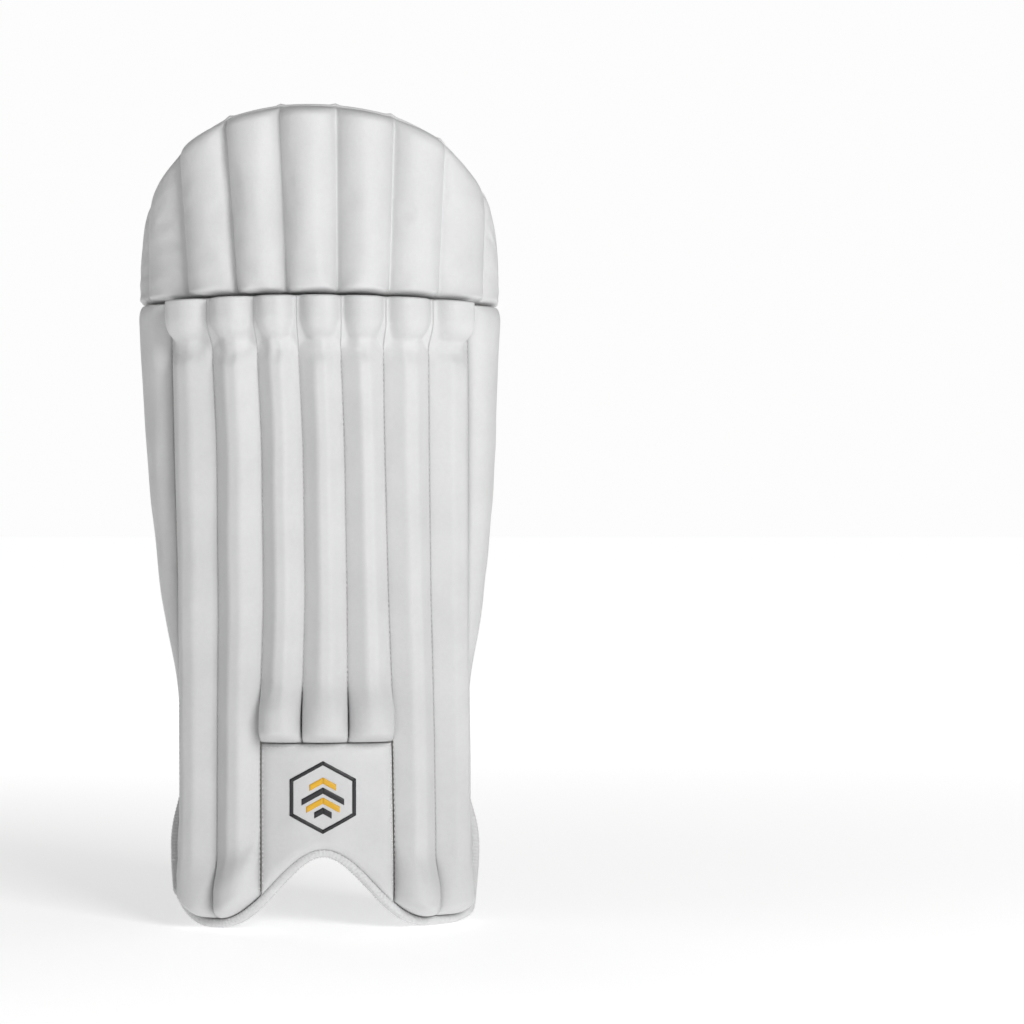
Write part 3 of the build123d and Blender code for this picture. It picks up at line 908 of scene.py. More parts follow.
# ---------------------------------------------------------------- canes and knee rolls
@dataclass
class Canes:
    """Seven caned ribs, each a sewn sleeve with a stuffed roll at its head and a full foot."""

    pattern: Pattern
    seams: CaneSeams
    height: float = 18.6
    top_half: float = 5.2
    shoulder: float = 8.0
    shoulder_half: float = 17.2
    valley: float = 6.3
    roll_valley: float = 7.5
    outer_edge: float = 1.6
    roll_height: float = 26.6
    roll_half: float = 1.0
    roll_middle_z: float = 490.0
    roll_length: float = 23.0
    crease: float = 3.8
    foot_height: float = 22.0
    outer_foot: float = 0.7
    foot_start: float = 52.0
    columns: int = 28
    core_radius: float = 5.5
    core_offset: float = 9.0
    core_low_z: float = 52.0
    core_short: float = 54.0
    foot_gap: float = 0.4

    def is_short(self, index: int) -> bool:
        """Whether the cane stops at the instep panel."""
        return abs(index - self.pattern.canes // 2) <= 1

    def low_z(self, index: int, x: float) -> float:
        """The lowest height of a cane's sleeve where it stands at x."""
        if self.is_short(index):
            return self.pattern.short_foot_z
        return self.pattern.foot_z(x) + self.pattern.binding + self.foot_gap

    def lowest(self, index: int) -> float:
        """The lowest height of any part of a cane's sleeve."""
        short = self.is_short(index)
        return self.pattern.short_foot_z if short else self.pattern.binding + self.foot_gap

    def section(self, share: float) -> float:
        """The caned section's height at share, -1 to 1, of its width."""
        half = self.pattern.pitch / 2
        place = abs(share) * half
        slope = (self.height - self.shoulder) / (self.shoulder_half - self.top_half)
        steep = (self.shoulder - self.valley) / (half - self.shoulder_half)
        top = smooth_least(self.height, self.shoulder + slope * (self.shoulder_half - place), 2.2)
        return smooth_least(top, self.valley + steep * (half - place), 2.0)

    def stand(self, index: int, share: float, z: float, above_foot: float) -> float:
        """How far the sleeve stands out of the board.

        Args:
            index: The cane.
            share: The place across it, -1 to 1.
            z: The height.
            above_foot: The distance above the sleeve's own foot there.

        Returns:
            The height over the board, in millimetres.
        """
        lean = share + 0.05 * wander(z / 70.0, index * 7.3) * (1 - share * share)
        stand = self.section(lean) + 0.8 * wander(z / 55.0, index * 3.1, 4.0) * dome(share)
        drop = max(0.0, (self.roll_middle_z - z) / self.roll_length)
        narrow = self.roll_half - 0.1 * ease(0.2, 1.0, drop)
        aside = abs(share + 0.08 * wander(index * 9.1, 0.5)) / narrow
        full = max(0.0, 1.0 - aside**2.7 - drop**2.4)
        roll = self.roll_height * full**0.5
        under = z - self.roll_middle_z + self.roll_length + 5.0 - 5.0 * aside * aside
        crease = math.exp(-((under / 8.0) ** 2))
        pucker = wander(share * 1.8 + index * 5, z / 17.0, 9.0) * 2.4 * crease
        above = ease(self.roll_middle_z - self.roll_length - 4, self.roll_middle_z - 6, z)
        stand -= (self.crease * crease + 9.0 * above) * dome(share)
        floor = self.valley + self.roll_valley * above
        stand = smooth_most(max(stand, floor) + pucker * dome(share), roll, 1.8)
        swell = ease(self.foot_start, self.foot_start * 0.42, above_foot)
        outer = {0: -share, self.pattern.canes - 1: share}.get(index, 0.0)
        full_foot = self.foot_height * (self.outer_foot if outer else 1.0)
        foot = full_foot * dome(share * (1.0 if outer <= 0 else 1.25), 2.4) + self.valley
        stand += (foot - stand) * swell
        stand -= (floor - self.outer_edge) * ease(0.45, 1.0, outer)
        ends = closing(above_foot, 11.0) * closing(self.pattern.top_z - z, 1.8)
        return 0.4 + max(stand - 0.4, 0.0) * ends

    def way_out(self, index: int, share: float, z: float) -> np.ndarray:
        """The direction a sleeve stands out in, the same on both sides of a seam."""
        *_, out = self.seams.across(index, z)
        seam = self.seams.line.out(self.seams.arc(index + (share > 0), z))
        mix = abs(share) ** 4
        out = out * (1 - mix) + seam * mix
        return out / np.hypot(*out)

    def heights(self, index: int) -> list[float]:
        """Distances up the sleeve of its rows, closer together at both ends."""
        length = self.pattern.top_z - self.lowest(index)
        near_end = [0.0, 0.4, 1.0, 1.9, 3.2, 5.0, 7.2, 9.8, 13.0]
        middle = np.linspace(17.0, length - 70.0, int((length - 87.0) / 6.5))
        head = np.linspace(length - 67.0, length - 5.0, 30)
        return [*near_end, *middle, *head, length - 3.0, length - 1.6, length - 0.6, length]

    def sleeve(self, index: int) -> Piece:
        """Builds one sleeve with its roll."""
        skin = Skin()
        lowest = self.lowest(index)
        rings, uvs = [], []
        for distance in self.heights(index):
            z0 = lowest + distance
            ring, marks = [], []
            for step in range(self.columns + 1):
                share = -math.cos(math.pi * step / self.columns) * 0.35
                share += (2.0 * step / self.columns - 1.0) * 0.65
                left, right = self.seams.plan(index, z0), self.seams.plan(index + 1, z0)
                base = (left + right) / 2 + (right - left) / 2 * share
                fade = math.exp(-distance / 34.0)
                z = z0 + (self.low_z(index, float(base[0])) - lowest) * fade
                left, right, _, out = self.seams.across(index, z)
                base = (left + right) / 2 + (right - left) / 2 * share * 0.9995
                above = z - self.low_z(index, float(base[0]))
                plan = base + self.way_out(index, share, z) * self.stand(index, share, z, above)
                z = self.pattern.arched(float(base[0]), z)
                ring.append(self.pattern.spot(plan, z))
                marks.append((share * self.pattern.pitch / 2 * MM, z * MM))
            for step in range(1, 6):
                share = 1.0 - step / 3
                plan = (left + right) / 2 + (right - left) / 2 * share
                z = z0 + (self.low_z(index, float(plan[0])) - lowest) * fade
                z = self.pattern.arched(float(plan[0]), z)
                ring.append(self.pattern.spot(plan - out * 0.1, z))
                marks.append((share * self.pattern.pitch / 2 * MM, z * MM))
            rings.append(ring)
            uvs.append(marks)
        skin.tube(rings, uvs)
        return skin.build(f"cane_cover_{index + 1}", Finish.HIDE)

    def core(self, index: int) -> Piece:
        """Builds the cane inside a sleeve, which follows its seams."""
        low = self.pattern.short_foot_z + 8 if self.is_short(index) else self.core_low_z
        skin = Skin()
        rings = []
        for z in np.linspace(low, self.pattern.seam_z - self.core_short, 40):
            left, right, way, out = self.seams.across(index, z)
            middle = (left + right) / 2 + out * self.core_offset
            ring = []
            for step in range(14):
                turn = 2 * math.pi * step / 14
                swing = way * math.cos(turn) - out * math.sin(turn)
                ring.append(self.pattern.spot(middle + swing * self.core_radius, z))
            rings.append(ring)
        skin.tube(rings)
        return skin.build(f"cane_{index + 1}", Finish.CANE)

    def stitches(self) -> Piece:
        """Sews the rows of thread that lie in the valleys between the canes."""
        skin = Skin()
        row = Stitching(4.2, 2.6, 0.34)
        for seam in range(self.pattern.canes + 1):
            inner = 3 <= seam <= 4
            start = self.pattern.short_foot_z + 4 if inner else 30.0
            lift = self.outer_edge if seam in (0, self.pattern.canes) else self.valley
            points = []
            for z in np.arange(start, self.pattern.seam_z - 8, 6.0):
                out = self.seams.line.out(self.seams.arc(seam, z))
                plan = self.seams.plan(seam, z) + out * (lift - 0.1)
                points.append((self.pattern.spot(plan, z), out))
            row.sew(skin, points)
        return skin.build("cane_seam_stitches", Finish.THREAD)

    def build(self) -> None:
        """Builds every cane, its core and the seams' thread."""
        for index in range(self.pattern.canes):
            number = index + 1
            cover = self.sleeve(index)
            nodes = (f"cane_sleeve_{number}", f"cane_foam_{number}", f"knee_roll_{number}")
            settle(cover, "shin", *nodes)
            settle(self.core(index), "shin", f"cane_rod_{number}")
        settle(self.stitches(), "shin")


# ---------------------------------------------------------------- knee flap
# Where each seam between the flap's channels meets its hem (x) and its rim (x, z).
FLAP_SEAMS = (
    (-133.2, -133.0, 590.0),
    (-100.2, -107.3, 629.0),
    (-62.5, -71.9, 650.6),
    (-25.4, -31.6, 658.6),
    (12.8, 11.6, 658.8),
    (51.8, 55.8, 652.4),
    (90.0, 95.9, 635.4),
    (127.8, 129.8, 597.8),
)


@dataclass
class KneeFlap:
    """The domed flap over the knee, stuffed in nine channels that fan out towards its rim."""

    pattern: Pattern
    steps: tuple[Pair, ...] = ((14, 41.5), (28, 41.5), (44, 41.5), (66, 41.5))
    half_width: float = 144.5
    hem_z: float = 504.4
    puff: tuple[float, ...] = (6.6, 12.5, 19.5, 22.5, 23.0, 22.5, 19.5, 13.0, 7.0)
    valley: float = 2.2
    seam_lifts: tuple[float, ...] = (0.0, 2.2, 4.8, 6.2, 6.5, 6.5, 6.2, 4.8, 2.2, 0.0)
    head_radii: tuple[float, ...] = (50.0, 34.0, 15.0, 10.0, 9.5, 10.0, 15.0, 34.0, 50.0)
    edge: float = 2.4
    bulge: float = 0.8  # how far the rim rises between two seams
    peak: float = 1.3  # how far it rises at a seam
    hem_closing: float = 4.5
    inner_depth: float = 0.2
    corner_z: float = 524.0
    peak_z: float = 660.5
    bend_reach: float = 16.0  # how far the plan line's corners are rounded
    gusset_half: float = 176.0
    columns: int = 16
    rows: int = 72

    def __post_init__(self) -> None:
        """Lays out the flap's plan line and the fan of its seams."""
        self.line = PlanLine(20.75, self.steps)
        self.seam_arcs = [
            (self.line.arc_of(foot), self.line.arc_of(head), top)
            for foot, head, top in FLAP_SEAMS
        ]
        ends = (self.line.arc_of(-self.half_width), self.line.arc_of(self.half_width))
        corners = [(end, end, self.corner_z) for end in ends]
        self.borders = [corners[0], *self.seam_arcs, corners[1]]

    def rim_z(self, channel: int, share: float) -> float:
        """The rim's height over a channel, share 0 to 1 of the way across."""
        low, high = self.borders[channel][2], self.borders[channel + 1][2]
        near_seam = math.exp(-((min(share, 1 - share) * 18) ** 2))
        lift = self.bulge * (1 - (2 * share - 1) ** 2) + self.peak * near_seam
        if channel in (0, 8):
            inner = share if channel == 0 else 1 - share
            tall, short = max(low, high), min(low, high)
            return short + (tall - short) * math.sin(inner * math.pi / 2) ** 0.8
        return low + (high - low) * share + lift

    def place(self, channel: int, share: float, rise: float) -> Pair:
        """The arc and height of a point in a channel.

        Args:
            channel: The channel, 0 to 8.
            share: The way across it, 0 to 1.
            rise: The way from hem to rim, 0 to 1.

        Returns:
            The arc along the flap's plan line and the height.
        """
        left, right = self.borders[channel], self.borders[channel + 1]
        lefts = left[0] + (left[1] - left[0]) * rise
        rights = right[0] + (right[1] - right[0]) * rise
        arc = lefts + (rights - lefts) * share
        hem = self.pattern.arched(float(self.line.at(arc)[0]), self.hem_z)
        return arc, hem + (self.rim_z(channel, share) - hem) * rise

    def stand(self, channel: int, share: float, rise: float, to_rim: float) -> float:
        """How far the cover stands out before it is stuffed."""
        across = dome(2 * share - 1, 2.4) ** 1.3
        above_hem = rise * (self.rim_z(channel, share) - self.hem_z)
        foot = closing(above_hem, self.hem_closing)
        head = closing(to_rim, self.head_radii[channel])
        fold = wander(share * 2.6 + channel * 7.7, rise * 9.0, 2.0)
        near_hem = math.exp(-rise * 14.0)
        lifts = self.seam_lifts[channel : channel + 2]
        lift = lifts[0] + (lifts[1] - lifts[0]) * share
        floor = self.seam_height(lift, above_hem, to_rim)
        height = (self.puff[channel] - floor + self.valley) * across * foot * head
        return floor + height * (1 + 0.3 * fold * near_hem) + 0.7 * fold * across

    def seam_height(self, lift: float, above_hem: float, to_rim: float) -> float:
        """How far the seams between the channels stand out, less near the hem and the rim."""
        return self.valley + lift * closing(above_hem, 8.0) * closing(to_rim, 11.0)

    def spot(self, arc: float, z: float, out: float) -> Vector:
        """A point of the flap in metres."""
        plan = self.line.rounded(arc, self.bend_reach) + self.line.out(arc, self.bend_reach) * out
        return self.pattern.spot(plan, z)

    def sheet(
        self, depth: Callable[[int, float, float], float], short: float = 0.0
    ) -> list[list[Vector]]:
        """Rows of points over the whole flap.

        Args:
            depth: How far each place stands out, from its channel, share and rise.
            short: How far the sheet stops short of the rim.

        Returns:
            The rows, from hem to rim.
        """
        rows = []
        for row in range(self.rows + 1):
            rise = crowded(row, self.rows, 0.45)
            points = []
            for channel in range(len(self.puff)):
                last = channel == len(self.puff) - 1
                for step in range(self.columns + last):
                    share = step / self.columns
                    share = 0.3 * (0.5 - 0.5 * math.cos(math.pi * share)) + 0.7 * share
                    arc, z = self.place(channel, share, rise)
                    arc *= 1 - short / self.half_width
                    points.append(self.spot(arc, z - short * rise, depth(channel, share, rise)))
            rows.append(points)
        return rows

    def cover(self) -> Piece:
        """Builds the stuffed cover, front and back in one closed skin."""

        def front(channel: int, share: float, rise: float) -> float:
            """The front's standing height."""
            to_rim = (1 - rise) * (self.rim_z(channel, share) - self.hem_z) - self.edge
            outer = {0: share, 8: 1 - share}.get(channel, 1.0)
            fade = closing(outer * 30.0, 16.0)
            stand = self.stand(channel, share, rise, to_rim)
            return self.valley + (stand - self.valley) * fade

        skin = Skin()
        outside = self.sheet(front)
        width = len(outside[0])
        inside = self.sheet(lambda channel, share, rise: self.inner_depth)
        numbers = skin.slab(list(zip(outside, inside)))
        piece = skin.build("flap_cover_stuffed", Finish.HIDE)
        held = []
        for row_index, row in enumerate(numbers):
            for step, number in enumerate(row):
                seam = step < width and step % self.columns == 0
                hem = row_index < 1 or row_index >= self.rows - 1
                if step >= width or seam or hem:
                    held.append(number)
        Stuffing(3.0, 12, 2.2, 0.002, 18.0, 5.0).fill(piece, held)
        self.finish_rim(piece)
        subdivided(piece)
        return piece

    def finish_rim(self, piece: Piece) -> None:
        """Keeps the stuffed cover inside the flap's own outline."""
        for vertex in piece.data.vertices:
            vertex.co.z = max(vertex.co.z, (self.hem_z - 0.3) * MM)
            vertex.co.z = min(vertex.co.z, self.peak_z * MM)
        piece.data.update()

    def layer(self, name: str, finish: Finish, near: float, far: float, short: float) -> Piece:
        """Builds one even layer behind the cover, whose edges come forward to meet it.

        Args:
            name: The piece's name.
            finish: Its finish.
            near: The depth of its front behind the cover.
            far: The depth of its back behind the cover.
            short: How far it stops short of the rim.

        Returns:
            The piece.
        """

        def gathered(depth: float) -> Callable[[int, float, float], float]:
            """Brings a depth forward near the flap's edges."""

            def at(channel: int, share: float, rise: float) -> float:
                """The depth at one place."""
                to_rim = (1 - rise) * (self.rim_z(channel, share) - self.hem_z)
                edge = {0: share, 8: 1 - share}.get(channel, 1.0) * 30.0
                fade = closing(to_rim, 9.0) * closing(edge, 9.0)
                return -0.15 - (depth - 0.15) * fade if near < 3 else -depth * fade - 0.1

            return at

        skin = Skin()
        rows = list(zip(self.sheet(gathered(near), short), self.sheet(gathered(far), short)))
        thickness = (far - near) * MM
        for fore, aft in rows:
            for step, point in enumerate(aft):
                if (fore[step] - point).length < thickness * 0.5:
                    aft[step] = point + Vector((0.0, thickness, 0.0))
        skin.slab(rows)
        return skin.build(name, finish)

    def rim_binding(self) -> Piece:
        """Builds the thin turned edge that runs round the rim from hem to hem."""
        left, right = self.borders[0], self.borders[-1]
        ends = np.linspace(self.hem_z + 1.0, self.corner_z - 4.0, 8)
        places = [(left[0], left[0] + 1.0, z) for z in ends]
        for channel in range(len(self.puff)):
            for step in range(24):
                arc, z = self.place(channel, step / 24, 1.0)
                places.append((arc, arc, z - 1.2))
        places += [(right[0], right[0] - 1.0, z) for z in reversed(ends)]
        path = [self.spot(arc, z, 0.9) for _, arc, z in places]
        outs = [level(self.line.out(arc, self.bend_reach)) for arc, _, _ in places]
        skin = Skin()
        rings = []
        for index, centre in enumerate(path):
            ahead = (path[min(index + 1, len(path) - 1)] - path[max(index - 1, 0)]).normalized()
            side = ahead.cross(outs[index]).normalized()
            up = side.cross(ahead)
            ring = []
            for step in range(10):
                turn = 2 * math.pi * step / 10
                ring.append(
                    centre + side * (1.5 * MM * math.cos(turn)) + up * (2.3 * MM * math.sin(turn))
                )
            rings.append(ring)
        skin.tube(rings)
        return skin.build("flap_rim_edge", Finish.EDGE)

    def gusset(self, wings: "Wings") -> Piece:
        """Builds the soft strip behind the hem that joins the flap to the shell."""
        low_z, high_z = self.pattern.seam_z - 8.0, self.hem_z + 7.0
        skin = Skin()
        rows = []
        for row in range(15):
            rise = row / 14
            z = low_z + (high_z - low_z) * rise
            mix = ease(0.25, 0.75, rise)
            near, far = [], []
            for step in range(91):
                share = 2 * step / 90 - 1
                shell_arc = share * self.gusset_half
                flap_arc = share * (self.borders[-1][0] - 5.0)
                shell, shell_out = wings.edge_spot(shell_arc, low_z)
                flap_out = self.line.out(flap_arc, self.bend_reach)
                flap = self.line.rounded(flap_arc, self.bend_reach) - flap_out * 4.4
                sunk = 5.7 - 3.0 * ease(120.0, 132.0, abs(shell_arc))
                shell = shell - shell_out * sunk
                plan = shell + (flap - shell) * mix
                out = shell_out + (flap_out - shell_out) * mix
                near.append(self.pattern.spot(plan, z))
                far.append(self.pattern.spot(plan - out * 1.1, z))
            rows.append((near, far))
        skin.slab(rows)
        piece = skin.build("flap_gusset", Finish.LINING)
        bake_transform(piece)
        return piece

    def stitches(self) -> Piece:
        """Sews the thread in the valleys between the channels."""
        skin = Skin()
        row = Stitching(3.5, 2.2, 0.38)
        for (foot, head, top), lift in zip(self.seam_arcs, self.seam_lifts[1:]):
            points = []
            for step in range(41):
                rise = 0.02 + 0.955 * step / 40
                arc = foot + (head - foot) * rise
                hem = self.pattern.arched(float(self.line.at(arc)[0]), self.hem_z)
                z = hem + (top - hem) * rise
                out = self.seam_height(lift, z - hem, top - z - self.edge) + 0.7
                points.append((self.spot(arc, z, out), self.line.out(arc, self.bend_reach)))
            row.sew(skin, points)
        return skin.build("flap_seam_stitches", Finish.THREAD)

    def build(self, wings: "Wings") -> None:
        """Builds the flap's gusset, cover, stiffener, lining, rim edge and thread."""
        self.gusset(wings)
        cover = self.cover()
        settle(cover, "knee_flap", "flap_cover", "flap_foam")
        board = self.layer("flap_stiffener", Finish.BOARD, 0.4, 2.6, 4.5)
        settle(board, "knee_flap", "flap_board")
        back = self.layer("flap_back_lining", Finish.LINING, 3.1, 4.2, 0.0)
        settle(back, "knee_flap", "flap_lining")
        settle(self.rim_binding(), "knee_flap")
        settle(self.stitches(), "knee_flap")


# ---------------------------------------------------------------- wings and foot edge
# Height, then the wing's two facets as (angle, length), then how far it stands out and in.
WING_ROWS = (
    (0.0, 84, 22, 80, 30, 1.6, 7.0),
    (40.0, 80, 22, 77, 30, 1.6, 7.0),
    (70.0, 84, 22, 80, 30, 1.6, 7.0),
    (105.0, 97, 22, 96, 31, 1.6, 7.5),
    (150.0, 99, 22, 99, 32, 1.2, 9.0),
    (190.0, 94, 22, 101, 34, 3.0, 12.0),
    (263.0, 75, 26, 97, 38, 10.0, 13.0),
    (350.0, 64, 29, 94, 40, 12.0, 14.0),
    (504.0, 52, 32, 90, 40, 12.0, 14.0),
)
STRAP_HEIGHTS = {"upper": 400.0, "lower": 166.0}


@dataclass
class Wings:
    """The padded sides, each one roll above and a thin flap with a rounded corner at the ankle."""

    pattern: Pattern
    seams: CaneSeams
    columns: int = 30
    rear_depth: float = 84.6
    straight_z: float = 128.0  # above this the rear edge runs out to its full depth
    low_middle: float = 24.0
    seam_behind_corner: float = 13.0
    strap_room: float = 8.5
    fade: Pair = (110.0, 131.0)
    corner_start: float = 103.5
    corner_scale: float = 0.0613
    corner_power: float = 0.5814
    corner_blend: float = 16.0
    twist_down: float = 0.62
    twist_out: float = 0.6
    gap: float = 0.2  # between the wing's front edge and the end of the board
    rear_share: float = 0.72  # how full the channel behind the seam is

    def __post_init__(self) -> None:
        """Smooths the wing's rows up its height."""
        self.face = self.pattern.face()
        table = np.array(WING_ROWS)
        self.heights = np.arange(-10.0, 512.0, 3.0)
        self.rows = [
            smoothed(np.interp(self.heights, table[:, 0], column), 7, mode="edge")
            for column in table.T[1:]
        ]

    def sizes(self, z: float) -> list[float]:
        """The wing's angles, lengths and thicknesses at height z."""
        return [float(np.interp(z, self.heights, row)) for row in self.rows]

    def path(self, z: float) -> PlanLine:
        """A wing's middle line at height z, with the board's before it, as if on the right."""
        angle, first, rear_angle, rear, _, _ = self.sizes(z)
        return PlanLine(
            self.pattern.pitch / 2,
            [(self.pattern.turn * k, self.pattern.pitch) for k in range(1, 4)]
            + [(angle, first), (rear_angle, rear)],
        )

    def shift(self, z: float, side: int) -> np.ndarray:
        """How far a wing is moved to meet its cane's wandering seam, as if on the right."""
        seam = self.seams.plan(self.pattern.canes if side > 0 else 0, z)
        return seam * (side, 1) - self.face.points[-1]

    def low_z(self, side: int) -> float:
        """Where a wing's foot corner leaves the board; the left one is rounder."""
        return self.low_middle - self.twist_down * self.pattern.twist * side

    def reach(self, z: float, line: PlanLine, side: int) -> float:
        """The arc of the wing's rear edge at height z, round its foot corner."""
        depth = self.rear_depth + max(0.0, z - self.straight_z) * 0.9
        rear = min(float(line.arcs[-1]), float(np.interp(depth, *self.depths(line))))
        start = self.corner_start + self.twist_out * self.pattern.twist * side
        above = max(z - self.pattern.binding, 0.0)
        corner = start + (above / self.corner_scale) ** self.corner_power
        return smooth_least(rear, corner, self.corner_blend)

    @property
    def start(self) -> float:
        """The arc of the wing's front edge."""
        return float(self.face.arcs[-1]) + self.gap

    @staticmethod
    def depths(line: PlanLine) -> tuple[np.ndarray, np.ndarray]:
        """Depth and arc along the right half of a line."""
        half = len(line.arcs) // 2
        return line.points[half:, 1], line.arcs[half:]

    def edge_spot(self, arc: float, z: float, reach: float = 5.0) -> tuple[np.ndarray, np.ndarray]:
        """A plan point and its way out, on the board or beyond it on a wing.

        Args:
            arc: The arc from the pad's middle, negative to the left.
            z: The height.
            reach: How far the line's corners are rounded.

        Returns:
            The plan point and the unit vector out of the pad's face.
        """
        side = -1 if arc < 0 else 1
        line = self.path(z)
        plan = line.rounded(abs(arc), reach) + self.shift(z, side) * ease(*self.fade, abs(arc))
        return plan * (side, 1), line.out(abs(arc), reach) * (side, 1)

    def stand(self, share: float, seam: float, out: float, z: float, side: int) -> float:
        """How far the wing stands out, share 0 to 1 from the board to its rear edge."""
        if share < seam:
            middle = 2 * share / seam - 1
        else:
            middle = 2 * (share - seam) / (1 - seam) - 1
        crown = dome(middle, 3.0) ** 0.8
        full = ease(120.0, 260.0, z)
        ripple = wander(z / 42.0, share * 2.4, side * 11.0) * 1.3 * full
        share_of_full = self.rear_share if share > seam else 1.0
        puffed = out * (0.42 + 0.62 * crown) * share_of_full + ripple * crown
        flat = out * (0.75 + 0.25 * crown)
        seat = max(math.exp(-(((z - at) / 27.0) ** 6)) for at in STRAP_HEIGHTS.values())
        sunk = max(0.6, out - self.strap_room)
        puffed += (sunk - puffed) * seat * ease(seam - 0.02, seam + 0.1, share)
        stand = flat + (puffed - flat) * full
        return stand + (sunk - stand) * seat * (1 - full) * ease(0.2, 0.5, share)

    def heights_up(self, side: int) -> list[float]:
        """The heights of a wing's rings."""
        low, top = self.low_z(side), self.pattern.top_z
        foot = [low, low + 0.5, low + 1.2, low + 2.2, low + 3.6, low + 5.4, low + 7.6]
        body = list(np.linspace(low + 10.0, top - 22.0, 96))
        return [*foot, *body, top - 16, top - 11, top - 7, top - 4, top - 2, top - 0.7, top]

    def cover(self, side: int, word: str) -> Piece:
        """Builds one wing's cover, side -1 for the left."""
        skin = Skin()
        rings, uvs = [], []
        low, top = self.low_z(side), self.pattern.top_z
        start = self.start
        shares = [crowded(step, self.columns, 0.4) for step in range(self.columns + 1)]
        for z in self.heights_up(side):
            line, shift = self.path(z), self.shift(z, side)
            _, first, _, _, out, inside = self.sizes(z)
            end = self.reach(z, line, side)
            ends = closing(z - low, 5.0) * closing(top - z, 12.0)
            seam = min((first + self.seam_behind_corner) / max(end - start, 1.0), 0.9)
            ring, marks = [], []
            for share in shares:
                arc = start + (end - start) * share
                stand = self.stand(share, seam, out, z, side) * (0.55 + 0.45 * ends)
                stand *= closing((1 - share) * (end - start), 7.0) * 0.9 + 0.1
                stand *= 0.16 + 0.84 * closing(share * (end - start), 13.0)
                reach = 3.0 + 9.0 * ease(0.0, 0.25, share)
                plan = line.rounded(arc, reach) + line.out(arc, reach) * stand + shift
                ring.append(self.pattern.spot(plan * (side, 1), z))
                marks.append((arc * MM, z * MM))
            for share in reversed(shares):
                arc = start + (end - start) * share
                depth = inside * (0.72 + 0.28 * dome(2 * share - 1, 4.0) * ends)
                depth *= closing((1 - share) * (end - start), 7.0) * 0.9 + 0.1
                plan = line.rounded(arc, 6.0) - line.out(arc, 6.0) * depth + shift
                ring.append(self.pattern.spot(plan * (side, 1), z))
                marks.append((-arc * MM, z * MM))
            rings.append(ring)
            uvs.append(marks)
        skin.tube(rings, uvs)
        piece = skin.build(f"wing_{word}", Finish.HIDE)
        self.stuff(piece, len(rings), len(rings[0]))
        subdivided(piece)
        return piece

    def stuff(self, piece: Piece, rings: int, around: int) -> None:
        """Lets the wing's outside billow a little between its seams."""
        held = []
        for row in range(rings):
            for step in range(around):
                free = 2 <= step <= self.columns - 2 and 20 < row < rings - 5
                if not free:
                    held.append(row * around + step)
        Stuffing(1.4, 10, 1.4, 0.0, 16.0, 3.0).fill(piece, held)

    def stitches(self, side: int, word: str) -> Piece:
        """Sews the seam down one wing's outside."""
        skin = Skin()
        points = []
        for z in np.arange(200.0, self.pattern.seam_z - 14.0, 6.0):
            line = self.path(z)
            first, out = self.sizes(z)[1], self.sizes(z)[4]
            arc = self.start + first + self.seam_behind_corner
            way = line.out(arc, 12.0)
            plan = line.rounded(arc, 12.0) + way * (out * 0.42 + 0.6) + self.shift(z, side)
            points.append((self.pattern.spot(plan * (side, 1), z), way * (side, 1)))
        Stitching(4.0, 2.5, 0.36).sew(skin, points)
        return skin.build(f"wing_seam_stitches_{word}", Finish.THREAD)

    def build(self) -> None:
        """Builds both wings and the thread in their seams."""
        for side, word in ((-1, "left"), (1, "right")):
            cover = self.cover(side, word)
            settle(cover, "shin", f"wing_cover_{word}", f"wing_foam_{word}")
            settle(self.stitches(side, word), "shin")


